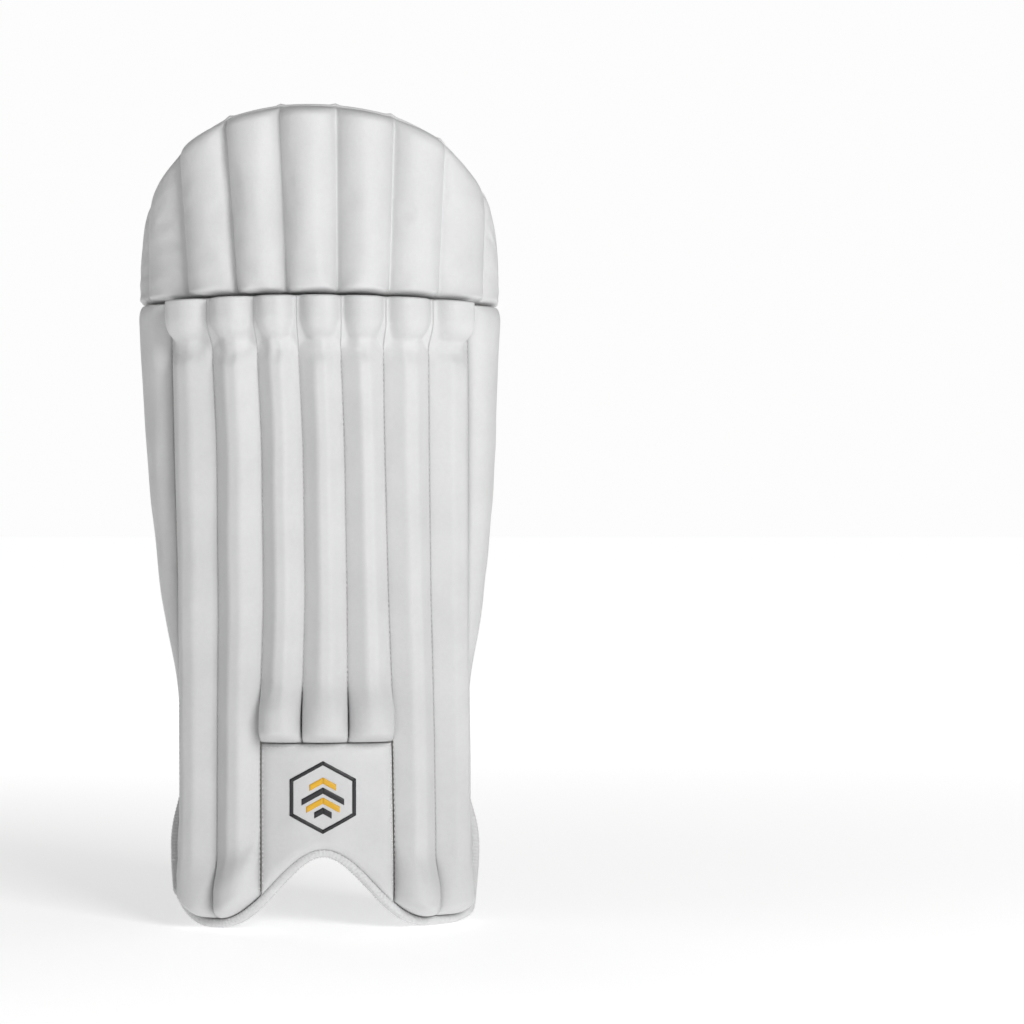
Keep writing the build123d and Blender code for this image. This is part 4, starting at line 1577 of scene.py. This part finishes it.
@dataclass
class FootEdge:
    """The ribbed binding over the arched instep and round both foot corners."""

    pattern: Pattern
    wings: Wings
    width: float = 8.2
    front: float = 6.2
    rear: float = 8.2
    rib: float = 2.9
    rib_depth: float = 0.62
    outside: float = 3.4
    top_z: float = 122.0
    pace: float = 0.9  # between the binding's rings
    squareness: float = 0.74

    def route(self) -> list[Pair]:
        """Places (arc, height) along the middle of the binding, from left to right."""
        face = self.pattern.face()
        sides = []
        for side in (-1, 1):
            inner = [
                (float(arc), self.pattern.foot_z(side * float(face.at(arc)[0])))
                for arc in np.arange(0.0, float(face.arcs[-1]) - 1.0, 1.5)
            ]
            inner = [(arc, z + self.pattern.binding) for arc, z in inner]
            for z in np.linspace(self.wings.low_z(side) + 1.0, self.top_z, 70).tolist():
                inner.append((self.wings.reach(z, self.wings.path(z), side), z))
            edge = np.array(inner)
            ahead = np.gradient(edge, axis=0)
            ahead /= np.hypot(*ahead.T)[:, None]
            middle = edge + np.stack([ahead[:, 1], -ahead[:, 0]], axis=1) * self.outside
            even, _ = evened(middle, lambda length: np.arange(0.0, length, self.pace), 5)
            even[0, 0] = 0.0
            sides.append([(float(arc), float(z)) for arc, z in even])
        left, right = sides
        return [(-arc, z) for arc, z in reversed(left[1:])] + right

    def band(self) -> Piece:
        """Builds the binding."""
        route = self.route()
        middles, outs = [], []
        for arc, z in route:
            plan, out = self.wings.edge_spot(arc, z)
            middle = plan + out * ((self.front - self.rear) / 2)
            middles.append(self.pattern.spot(middle, z))
            outs.append(level(out))
        skin = Skin()
        rings, uvs = [], []
        travelled = 0.0
        for index, centre in enumerate(middles):
            before, after = middles[max(index - 1, 0)], middles[min(index + 1, len(middles) - 1)]
            ahead = (after - before).normalized()
            travelled += (centre - before).length / MM
            side = ahead.cross(outs[index]).normalized()
            up = side.cross(ahead)
            groove = self.rib_depth * (0.5 + 0.5 * math.cos(2 * math.pi * travelled / self.rib))
            end = closing(min(index, len(middles) - 1 - index) * self.pace, 3.0)
            width = (self.width / 2 - groove) * max(end, 0.15)
            height = ((self.front + self.rear) / 2 - groove) * max(end, 0.15)
            ring = []
            for step in range(18):
                turn = 2 * math.pi * step / 18
                across, along = math.cos(turn), math.sin(turn)
                u = math.copysign(abs(across) ** self.squareness, across) * width
                v = math.copysign(abs(along) ** self.squareness, along) * height
                ring.append(centre + side * (u * MM) + up * (v * MM))
            rings.append(ring)
            uvs.append([(travelled * MM, step * MM) for step in range(18)])
        skin.tube(rings, uvs)
        return skin.build("foot_edge_binding", Finish.EDGE)

    def build(self) -> None:
        """Builds the binding."""
        nodes = ("instep_binding", "ankle_binding_left", "ankle_binding_right")
        settle(self.band(), "shin", *nodes)


# ---------------------------------------------------------------- instep panel and badge
@dataclass
class InstepPanel:
    """The puffed panel under the three short canes, with a plain printed badge."""

    pattern: Pattern
    seams: CaneSeams
    height: float = 9.8
    rim: float = 3.8
    top_z: float = 149.4
    columns: int = 44
    rows: int = 40
    badge_z: float = 107.0
    badge_width: float = 29.0
    chevron: float = 5.0
    chevron_slope: float = 0.58
    ink: float = 0.28
    closings: Triple = (11.0, 9.0, 10.0)  # at the sides, the foot and the top
    chevrons: tuple[Pair, ...] = (  # (foot, half width), amber and black in turn
        (11.0, 10.0), (3.0, 16.0), (-5.0, 12.5), (-13.0, 6.5),
    )

    def place(self, share: float, rise: float) -> Pair:
        """The arc and height at a share of the way across and up the panel."""
        z = self.top_z
        for _ in range(4):
            arc = self.arc(share, z)
            low = self.low_z(arc)
            z = low + (self.top_z - low) * rise
        return self.arc(share, z), z

    def arc(self, share: float, z: float) -> float:
        """The arc at a share of the way across at height z."""
        left, right = self.sides(z)
        return left + (right - left) * share

    def sides(self, z: float) -> Pair:
        """The arcs of the panel's two sides, just inside the seams that it is sewn into."""
        return self.seams.arc(2, z) + 0.5, self.seams.arc(5, z) - 0.5

    def low_z(self, arc: float) -> float:
        """The panel's foot at an arc, just above the binding."""
        return self.pattern.foot_z(float(self.seams.line.at(arc)[0])) + self.pattern.binding - 0.6

    def stand(self, arc: float, z: float) -> float:
        """How far the panel stands out of the board at a place."""
        left, right = self.sides(z)
        side = min(arc - left, right - arc)
        x = float(self.seams.line.at(arc)[0])
        slope = self.pattern.foot_z(x + 0.5) - self.pattern.foot_z(x - 0.5)
        to_foot = (z - self.low_z(arc)) / math.sqrt(1 + slope * slope)
        distances = (side, to_foot, self.top_z - z)
        full = math.prod(closing(*pair) for pair in zip(distances, self.closings))
        slow = 0.8 * wander(arc / 26.0, z / 24.0, 5.0)
        return self.rim + (self.height - self.rim + slow) * full

    def spot(self, arc: float, z: float, lift: float = 0.0) -> Vector:
        """A point on the panel's face, lifted off it by a little."""
        way = self.seams.line.out(arc, 16.0)
        plan = self.seams.line.rounded(arc, 9.0) + way * (self.stand(arc, z) + lift)
        return self.pattern.spot(plan, z)

    def panel(self) -> Piece:
        """Builds the panel, closed behind."""
        skin = Skin()
        rows = []
        for row in range(self.rows + 1):
            near, far = [], []
            for step in range(self.columns + 1):
                arc, z = self.place(crowded(step, self.columns), crowded(row, self.rows))
                near.append(self.spot(arc, z))
                plan = self.seams.line.at(arc) + self.seams.line.out(arc, 4.0) * 0.1
                far.append(self.pattern.spot(plan, z))
            rows.append((near, far))
        skin.slab(rows)
        return skin.build("instep_panel_cover", Finish.HIDE)

    def stitches(self) -> Piece:
        """Sews the row along the panel's top and down its sides."""
        skin = Skin()
        row = Stitching(3.6, 2.4, 0.34)
        corners = ((0.02, 0.04), (0.02, 0.975), (0.98, 0.975), (0.98, 0.04))
        for (ax, az), (bx, bz) in zip(corners, corners[1:]):
            points = []
            for step in range(41):
                share, rise = ax + (bx - ax) * step / 40, az + (bz - az) * step / 40
                arc, z = self.place(share, rise)
                points.append((self.spot(arc, z, 0.1), self.seams.line.out(arc, 16.0)))
            row.sew(skin, points)
        return skin.build("instep_panel_stitches", Finish.THREAD)

    def patch(self, skin: Skin, corners: Sequence[Pair], lift: float) -> None:
        """Adds a printed four-sided shape that follows the panel's face."""
        (ax, az), (bx, bz), (cx, cz), (dx, dz) = corners
        longest = max(math.hypot(bx - ax, bz - az), math.hypot(cx - dx, cz - dz))
        tallest = max(math.hypot(dx - ax, dz - az), math.hypot(cx - bx, cz - bz))
        wide, tall = max(2, round(longest / 1.6)), max(2, round(tallest / 1.6))
        rows = []
        for row in range(tall + 1):
            v = row / tall
            near, far = [], []
            for step in range(wide + 1):
                u = step / wide
                x = (ax * (1 - u) + bx * u) * (1 - v) + (dx * (1 - u) + cx * u) * v
                z = (az * (1 - u) + bz * u) * (1 - v) + (dz * (1 - u) + cz * u) * v
                arc = x + self.arc(0.5, self.badge_z) - 3.5
                near.append(self.spot(arc, self.badge_z + z, lift))
                far.append(self.spot(arc, self.badge_z + z, -0.3))
            rows.append((near, far))
        skin.slab(rows)

    def hexagon(self, radius: float) -> list[Pair]:
        """A hexagon's corners, one of them at the top."""
        turns = [math.pi / 2 - step * math.pi / 3 for step in range(6)]
        return [(radius * math.cos(t), radius * math.sin(t)) for t in turns]

    def badge(self) -> list[Piece]:
        """Prints the badge: a black frame round amber and black chevrons."""
        dark, bright = Skin(), Skin()
        outer, inner = self.hexagon(self.badge_width), self.hexagon(self.badge_width - 3.4)
        for step in range(6):
            after = (step + 1) % 6
            ring = (outer[step], outer[after], inner[after], inner[step])
            self.patch(dark, ring, self.ink)
        for number, (base, half) in enumerate(self.chevrons):
            skin = dark if number % 2 else bright
            for side in (-1, 1):
                end = base - half * self.chevron_slope
                top = self.chevron
                arm = (
                    (0.0, base), (side * half, end), (side * half, end + top), (0.0, base + top)
                )
                self.patch(skin, arm, self.ink)
        return [
            dark.build("badge_frame", Finish.INK_DARK),
            bright.build("badge_chevrons", Finish.INK_AMBER),
        ]

    def build(self) -> None:
        """Builds the panel, its thread and its badge."""
        cover = self.panel()
        settle(cover, "shin", "instep_panel", "instep_foam")
        settle(self.stitches(), "shin")
        frame_print, chevrons = self.badge()
        settle(frame_print, "shin", "instep_badge")
        settle(chevrons, "shin")


# ---------------------------------------------------------------- inside of the pad
@dataclass
class Backing:
    """One even layer over the whole back of the canes: the board, or the cloth behind it."""

    pattern: Pattern
    seams: CaneSeams
    name: str
    finish: Finish
    near: float
    far: float
    slack: float
    replaced: str
    columns: int = 56
    rows: int = 90

    def build(self) -> Piece:
        """Builds the layer."""
        line = self.pattern.face()
        top = self.pattern.seam_z - 1.2
        skin = Skin()
        rows = []
        for row in range(self.rows + 1):
            near, far = [], []
            for step in range(self.columns + 1):
                share = step / self.columns
                z = top
                for _ in range(4):
                    left, right = self.seams.arc(0, z) + 1.0, self.seams.arc(7, z) - 1.0
                    arc = left + (right - left) * share
                    foot = self.pattern.foot_z(float(line.at(arc)[0])) + self.pattern.binding
                    z = foot - 1.0 + (top - foot + 1.0) * row / self.rows
                out = line.out(arc, 3.0)
                slack = max(0.0, wander(arc / 24.0, z / 60.0, 3.0)) * self.slack
                for points, depth in ((near, self.near), (far, self.far + slack)):
                    points.append(self.pattern.spot(line.rounded(arc, 3.0) - out * depth, z))
            rows.append((near, far))
        skin.slab(rows)
        return settle(skin.build(self.name, self.finish), "shin", self.replaced)


@dataclass
class Cushion:
    """A stuffed cushion sewn to the lining, crowned towards the leg."""

    pattern: Pattern
    name: str
    replaced: str
    middle_arc: float
    half_width: float
    low_z: float
    high_z: float
    depth: float
    flat_rear: bool = False
    tufts: int = 0
    seat: float = 5.5
    front_steps: int = 22
    back_steps: int = 8

    def crown(self, share: float, z: float) -> float:
        """How far the cushion stands off the lining."""
        ends = closing(z - self.low_z, 15.0) * closing(self.high_z - z, 15.0)
        height = self.depth * dome(share, 3.0) * ends
        for number in range(1, self.tufts + 1):
            at = self.low_z + (self.high_z - self.low_z) * number / (self.tufts + 1)
            height *= 1 - 0.34 * math.exp(-(((z - at) / 5.0) ** 2))
        return height * (1 + 0.05 * wander(z / 24.0, share * 2.0, self.middle_arc))

    def build(self) -> None:
        """Builds and stuffs the cushion."""
        line = self.pattern.face()
        rows = max(16, int((self.high_z - self.low_z) / 4.0))
        skin = Skin()
        rings, uvs = [], []
        for row in range(rows + 1):
            z = self.low_z + (self.high_z - self.low_z) * crowded(row, rows, 0.35)
            ring, marks = [], []
            for step in range(self.back_steps):
                share = 2 * step / self.back_steps - 1
                ring.append(self.at(line, share, 0.0, z))
                marks.append((share * self.half_width * MM, z * MM))
            for step in range(self.front_steps):
                share = math.cos(math.pi * step / self.front_steps)
                ring.append(self.at(line, share, 0.6 + self.crown(share, z), z))
                marks.append((share * self.half_width * MM, z * MM))
            rings.append(ring)
            uvs.append(marks)
        skin.tube(rings, uvs)
        piece = skin.build(self.name, Finish.CUSHION)
        around = self.back_steps + self.front_steps
        held = [
            row * around + step
            for row in range(rows + 1)
            for step in range(around)
            if step <= self.back_steps or row in (0, rows)
        ]
        Stuffing(4.0, 16, 3.0, 0.03, 9.0, 0.4).fill(piece, held)
        subdivided(piece)
        settle(piece, "shin", self.replaced)

    def at(self, line: PlanLine, share: float, stand: float, z: float) -> Vector:
        """A point of the cushion, standing off the lining towards the leg."""
        arc = self.middle_arc + share * self.half_width
        plan = line.rounded(arc, 4.0) - line.out(arc, 4.0) * self.seat
        if self.flat_rear:
            plan = plan + np.array([0.0, stand])
            flat = self.flat_back(line)
            plan[1] += (flat - plan[1]) * 0.5 * min(stand / self.depth, 1.0) * dome(share, 6.0)
        else:
            plan = plan - line.out(arc, 4.0) * stand
        return self.pattern.spot(plan, z)

    def flat_back(self, line: PlanLine) -> float:
        """How deep the flat back of a wide cushion lies."""
        return float(line.at(self.half_width)[1]) + self.seat + self.depth


@dataclass
class Padding:
    """The lining and all that is sewn to it: two bolsters and two knee cushions."""

    pattern: Pattern
    seams: CaneSeams
    bolster_arc: float = 73.0

    def build(self) -> None:
        """Builds the board, the lining, the bolsters and the cushions."""
        Backing(
            self.pattern, self.seams, "shin_board", Finish.BOARD, 0.15, 3.9, 0.0, "backing_board"
        ).build()
        lining = Backing(
            self.pattern, self.seams, "shin_back_lining", Finish.LINING, 4.1, 5.3, 1.3,
            "shin_lining",
        ).build()
        for side, word in ((-1, "left"), (1, "right")):
            Cushion(
                self.pattern, f"bolster_{word}", f"shin_bolster_{word}",
                side * self.bolster_arc, 14.6, 96.5, 417.5, 18.0, tufts=3,
            ).build()
        for word, low in (("lower", 426.5), ("upper", 465.5)):
            Cushion(
                self.pattern, f"knee_pad_{word}", f"knee_cushion_{word}",
                0.0, 49.0, low, low + 35.0, 13.0, flat_rear=True,
            ).build()


# ---------------------------------------------------------------- straps
class Band:
    """The grid of a strap's middle surface: one smoothed plan path for each height across it."""

    def __init__(self, paths: Sequence[Sequence[np.ndarray]], heights: Sequence[float]) -> None:
        """Smooths the paths and spaces them evenly.

        Args:
            paths: For each height, the plan points along the strap.
            heights: The heights across the strap.
        """
        self.heights = list(heights)
        self.count = 420
        self.lines = []
        for path in paths:
            line, self.length = evened(
                path, lambda length: np.linspace(0.0, length, self.count), 7
            )
            self.lines.append(line)

    def spot(self, run: float, across: float, out: float) -> tuple[np.ndarray, float, np.ndarray]:
        """A point of the strap.

        Args:
            run: The distance along it.
            across: The share of the way across it, 0 to 1.
            out: How far it stands out of the middle surface.

        Returns:
            The plan point, its height and the unit vector out.
        """
        place = min(max(run / self.length, 0.0), 1.0) * (self.count - 1)
        row = min(max(across, 0.0), 1.0) * (len(self.lines) - 1)
        low, high = int(row), min(int(row) + 1, len(self.lines) - 1)
        line = self.lines[low] * (1 - row + low) + self.lines[high] * (row - low)
        index = min(int(place), self.count - 2)
        share = place - index
        before, after = max(index - 2, 0), min(index + 3, self.count - 1)
        way = line[after] - line[before]
        way /= np.hypot(*way)
        side = np.array([way[1], -way[0]])
        plan = line[index] * (1 - share) + line[index + 1] * share + side * out
        height = float(np.interp(row, range(len(self.heights)), self.heights))
        return plan, height, side


@dataclass
class Strap:
    """One wrap strap: anchor, elastic, webbing and a tab that grips a patch of loops."""

    pattern: Pattern
    wings: Wings
    word: str
    z: float
    axis: Pair
    width: float = 37.0
    bow: float = 34.0
    elastic_share: float = 0.3
    on_wing: float = 21.0
    tab: float = 25.0
    patch: float = 1.2
    hook: float = 1.2
    webbing: float = 2.0
    elastic: float = 1.7
    lap: float = 16.0
    row: float = 1.5  # between the rows of a strap's mesh
    dip: float = 1.9  # how far the elastic goes under the webbing
    thread: float = 0.05  # how far the thread stands out of a strap
    seat: float = 4.5  # from a wing's rear edge to the patches on it

    def __post_init__(self) -> None:
        """Lays the strap's surface from the left wing round behind the leg to the right wing."""
        heights = np.linspace(self.z - self.width / 2, self.z + self.width / 2, 9)
        paths = []
        left_out = self.patch + self.elastic / 2 + 0.1
        right_out = self.patch + self.hook + self.webbing / 2 + 0.3
        for z in heights:
            left = [p * (-1, 1) for p in self.wing_path(z, self.on_wing, left_out, -1)]
            right = self.wing_path(z, self.tab, right_out, 1)[::-1]
            paths.append([*left, *self.behind(), *right])
        self.band = Band(paths, heights)
        self.left_run = self.on_wing + 4.0
        self.right_run = self.band.length - self.tab - 4.0

    def wing_path(self, z: float, length: float, out: float, side: int) -> list[np.ndarray]:
        """Plan points along a wing's outside, from the front end to its rear edge."""
        return [
            self.wing_spot(reach, z, out, side)
            for reach in np.linspace(length, 2.5, int(length / 1.2))
        ]

    def wing_spot(self, behind: float, z: float, out: float, side: int) -> np.ndarray:
        """A plan point over a wing's outside, this far forward of its rear edge."""
        line = self.wings.path(z)
        end = self.wings.reach(z, line, side)
        _, first, _, _, thick, _ = self.wings.sizes(z)
        start = self.wings.start
        arc = end - behind
        share = (arc - start) / (end - start)
        seam = (first + self.wings.seam_behind_corner) / (end - start)
        stand = self.wings.stand(min(max(share, 0.02), 0.93), seam, thick, z, side)
        plan = line.rounded(arc, 9.0) + line.out(arc, 9.0) * (stand + out)
        return plan + self.wings.shift(z, side)

    def behind(self) -> list[np.ndarray]:
        """Plan points of the band behind the leg, from left to right."""
        axis_x, axis_y = self.axis
        radius = (axis_x**2 + self.bow**2) / (2 * self.bow)
        centre_y = axis_y + self.bow - radius
        half = math.asin(axis_x / radius)
        return [
            np.array([radius * math.sin(turn), centre_y + radius * math.cos(turn)])
            for turn in np.linspace(-half * 0.985, half * 0.985, 150)
        ]

    def ribbon(
        self,
        name: str,
        finish: Finish,
        runs: Sequence[float],
        thickness: float,
        lift: Callable[[float], float] = lambda run: 0.0,
        narrow: float = 0.0,
        fold: Pair = (1e9, 0.0),
    ) -> Piece:
        """Builds a length of strap.

        Args:
            name: The piece's name.
            finish: Its finish.
            runs: The distances along the strap of its rows.
            thickness: Its thickness.
            lift: How far it stands out of the strap's middle surface at a distance.
            narrow: How much narrower than the strap it is.
            fold: Where a turned hem begins and how much thicker it is.

        Returns:
            The piece.
        """
        skin = Skin()
        rings, uvs = [], []
        edge = narrow / 2 / self.width
        across = [edge + (1 - 2 * edge) * crowded(k, 14) for k in range(15)]
        for index, run in enumerate(runs):
            thick = thickness + (fold[1] if run > fold[0] else 0.0)
            end = min(run - runs[0], runs[-1] - run)
            thick *= 0.55 + 0.45 * closing(end, 0.8)
            ring, marks = [], []
            for side in (1, -1):
                for share in across if side > 0 else across[::-1]:
                    bead = closing((0.5 - abs(share - 0.5) - edge) * self.width, 0.9)
                    out = lift(run) + side * thick / 2 * (0.25 + 0.75 * bead)
                    plan, z, _ = self.band.spot(run, share, out)
                    ring.append(self.pattern.spot(plan, z))
                    marks.append((run * MM, share * self.width * MM))
            rings.append(ring)
            uvs.append(marks)
        skin.tube(rings, uvs)
        return skin.build(name, finish)

    def sewn_box(self, skin: Skin, low: float, high: float, out: float, margin: float) -> None:
        """Sews a box with a cross in it on the strap's outside."""
        near, far = margin / self.width, 1 - margin / self.width
        corners = (
            (low, near), (high, near), (high, far), (low, far), (low, near), (high, far),
            (high, near), (low, far),
        )
        for start, end in zip(corners, corners[1:]):
            points = []
            for step in range(13):
                share = step / 12
                run = start[0] + (end[0] - start[0]) * share
                across = start[1] + (end[1] - start[1]) * share
                plan, z, side = self.band.spot(run, across, out)
                points.append((self.pattern.spot(plan, z), side))
            Stitching(2.9, 2.0, 0.3).sew(skin, points)

    def wing_patch(self, name: str, finish: Finish, side: int, reach: Pair, thick: float) -> Piece:
        """Builds a patch sewn flat on a wing, side -1 for the left."""
        skin = Skin()
        half = self.width / 2 + 2.0
        rings, uvs = [], []
        shares = [crowded(k, 12) for k in range(13)]
        for forward in np.linspace(reach[0], reach[1], 24):
            ring, marks = [], []
            for outside in (True, False):
                for share in shares if outside else shares[::-1]:
                    z = self.z - half + 2 * half * share
                    rim = min(forward - reach[0], reach[1] - forward, half - abs(z - self.z))
                    out = thick * (0.35 + 0.65 * closing(rim, 1.0)) if outside else -1.2
                    plan = self.wing_spot(forward, z, out, side) * (side, 1)
                    ring.append(self.pattern.spot(plan, z))
                    marks.append((forward * MM, z * MM))
            rings.append(ring)
            uvs.append(marks)
        skin.tube(rings, uvs)
        return skin.build(name, finish)

    def build(self) -> None:
        """Builds the strap and what holds it."""
        word, strap_body, tab_body = self.word, f"{self.word}_strap", f"{self.word}_tab"
        axis_x, axis_y = self.axis
        anchor = self.wing_patch(
            f"{word}_anchor_patch", Finish.EDGE, -1, (self.seat, self.on_wing + 3.0), self.patch
        )
        settle(anchor, "shin", f"strap_anchor_{word}")
        loops = self.wing_patch(
            f"{word}_loop_tape", Finish.LOOP, 1, (self.seat, self.tab - 2.0), self.patch
        )
        settle(loops, "shin", f"loop_patch_{word}")

        joint_run = self.left_run + (self.right_run - self.left_run) * self.elastic_share

        def under(run: float) -> float:
            """The elastic's end goes under the webbing."""
            return -self.dip * ease(joint_run - self.lap * 0.9, joint_run - self.lap * 0.2, run)

        elastic = self.ribbon(
            f"{word}_elastic_band", Finish.ELASTIC,
            np.arange(0.0, joint_run + self.lap * 0.6, self.row), self.elastic, under, 1.0,
        )
        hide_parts(f"{word}_strap_elastic")
        place = (axis_y + self.pattern.face_y) * MM
        (-axis_x - 1.5) * MM
        (-axis_x + 9.0) * MM
        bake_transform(elastic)
        LOG.info("%s: %d faces, bends", elastic.name, len(elastic.data.polygons))

        webbing = self.ribbon(
            f"{word}_webbing_band", Finish.WEBBING,
            np.arange(joint_run - self.lap * 0.6, self.band.length - 0.2, self.row),
            self.webbing,
            fold=(self.band.length - 11.0, 1.0),
        )
        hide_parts(f"{word}_strap_webbing", f"{word}_strap_tab")
        (axis_x - 9.0) * MM
        (axis_x + 1.2) * MM
        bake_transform(webbing)
        LOG.info("%s: %d faces, bends", webbing.name, len(webbing.data.polygons))

        out = -(self.webbing + self.hook) / 2 - 0.05
        hooks = self.ribbon(
            f"{word}_hook_tape", Finish.HOOK,
            np.arange(self.band.length - self.tab + 5.0, self.band.length - 3.0, self.row),
            self.hook, lambda run: out, 5.0,
        )
        settle(hooks, tab_body, f"{word}_hook_pad")

        sewn = Skin()
        self.sewn_box(sewn, 3.0, self.on_wing - 9.0, self.elastic / 2 + self.thread, 4.0)
        settle(sewn.build(f"{word}_anchor_stitches", Finish.THREAD), "shin")
        sewn = Skin()
        lap_start = joint_run - self.lap * 0.5
        on_webbing = self.webbing / 2 + self.thread
        self.sewn_box(sewn, lap_start, lap_start + self.lap * 0.8, on_webbing, 3.0)
        settle(sewn.build(f"{word}_lap_stitches", Finish.THREAD), strap_body)
        sewn = Skin()
        start = self.band.length - self.tab + 8.0
        end = self.band.length
        for low, high, thick in ((start, end - 13.0, 0.0), (end - 9.5, end - 2.5, 0.5)):
            self.sewn_box(sewn, low, high, on_webbing + thick, 4.5)
        settle(sewn.build(f"{word}_tab_stitches", Finish.THREAD), tab_body)


# ---------------------------------------------------------------- the studio
@dataclass
class Studio:
    """A pale seamless floor, soft light from the front right and the camera."""

    pale: Triple = (0.93, 0.93, 0.93)
    sky: float = 0.17
    floor_glow: float = 0.48
    far_glow: float = 0.84
    lens: float = 106.6
    eye: Triple = (0.0, -2.489, 0.3341)
    pan: float = -3.61  # degrees to the right
    target: Triple = (0.0, 0.0, 0.34)

    def stage_material(self, name: str) -> bpy.types.Material:
        """A matte pale surface that glows, more so far from the pad."""
        bench = Bench(name)
        tone = bench.mottle(3.0, 2.0)
        x, y, _ = bench.split(bench.place())
        far = ((x * x + y * y) ** 0.5 * 0.4).at_most(1.0)
        near = (self.floor_glow / self.far_glow,) * 3
        bench.set(
            Base_Color=bench.tint(tone, self.pale, (0.95, 0.95, 0.95)),
            Roughness=tone * 0.05 + 0.9,
            Emission_Color=bench.tint(far, near, (1.0, 1.0, 1.0)),
            Emission_Strength=self.far_glow,
        )
        return bench.material

    def floor(self) -> None:
        """Adds a wide floor whose place is in its mesh."""
        bpy.ops.object.select_all(action="DESELECT")
        bpy.ops.mesh.primitive_plane_add(size=80.0, location=(0.0, 0.0, -0.0006))
        floor = bpy.context.object
        bpy.ops.object.transform_apply(location=True, rotation=True, scale=True)
        floor.name = "studio_floor"
        floor.data.materials.append(self.stage_material("studio_floor"))
        floor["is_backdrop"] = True

    def lamp(self, name: str, place: Vector, size: float, power: float) -> None:
        """Adds a square area lamp that looks at the pad."""
        light = bpy.data.lights.new(name, "AREA")
        light.size = size
        light.energy = power
        lamp = bpy.data.objects.new(name, light)
        lamp.location = place
        aim = Vector(self.target) - place
        lamp.rotation_euler = aim.to_track_quat("-Z", "Y").to_euler()
        bpy.context.collection.objects.link(lamp)

    def camera(self) -> None:
        """Adds the camera."""
        lens = bpy.data.cameras.new("camera")
        lens.lens = self.lens
        lens.sensor_width = 36.0
        lens.clip_end = 40.0
        camera = bpy.data.objects.new("camera", lens)
        camera.location = self.eye
        camera.rotation_euler = (math.radians(90.0), 0.0, math.radians(self.pan))
        bpy.context.collection.objects.link(camera)
        bpy.context.scene.camera = camera

    def build(self) -> None:
        """Builds the stage, the lamps, the sky and the camera."""
        self.camera()
        self.floor()
        self.lamp("key", Vector((1.45, -2.62, 1.5)), 1.3, 54.0)
        self.lamp("back", Vector((-1.3, 2.7, 1.9)), 2.0, 10.0)
        world = bpy.data.worlds.new("studio_sky")
        world.use_nodes = True
        tree = world.node_tree
        sky = tree.nodes["Background"]
        sky.inputs["Color"].default_value = (1.0, 1.0, 1.0, 1.0)
        rays = tree.nodes.new("ShaderNodeLightPath")
        seen = Wire(tree, rays.outputs["Is Camera Ray"])
        tree.links.new((seen * (0.98 - self.sky) + self.sky).socket, sky.inputs["Strength"])
        bpy.context.scene.world = world
        settings = bpy.context.scene.view_settings
        settings.view_transform = "Standard"
        settings.look = "None"


def main() -> None:
    """Builds the pad piece by piece."""
    logging.basicConfig(level=logging.INFO, format="%(message)s")
    Studio().build()
    pattern = Pattern(face_y=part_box("backing_board")[0].y / MM)
    seams = CaneSeams(pattern)
    Canes(pattern, seams).build()
    wings = Wings(pattern, seams)
    wings.build()
    FootEdge(pattern, wings).build()
    InstepPanel(pattern, seams).build()
    KneeFlap(pattern).build(wings)
    Padding(pattern, seams).build()
    for joint in frame["record"]["behaviour"]["joints"]:
        word = joint["name"].removesuffix("_strap_hinge")
        if word in STRAP_HEIGHTS:
            x, y, z = (value / MM for value in joint["pos_m"])
            Strap(pattern, wings, word, z, (-x, y - pattern.face_y)).build()
    visual_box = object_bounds()
    boxes = {"cad": CAD_BOX, "visual": visual_box}
    {key: [list(end) for end in box] for key, box in boxes.items()}


if __name__ == "__main__":
    main()
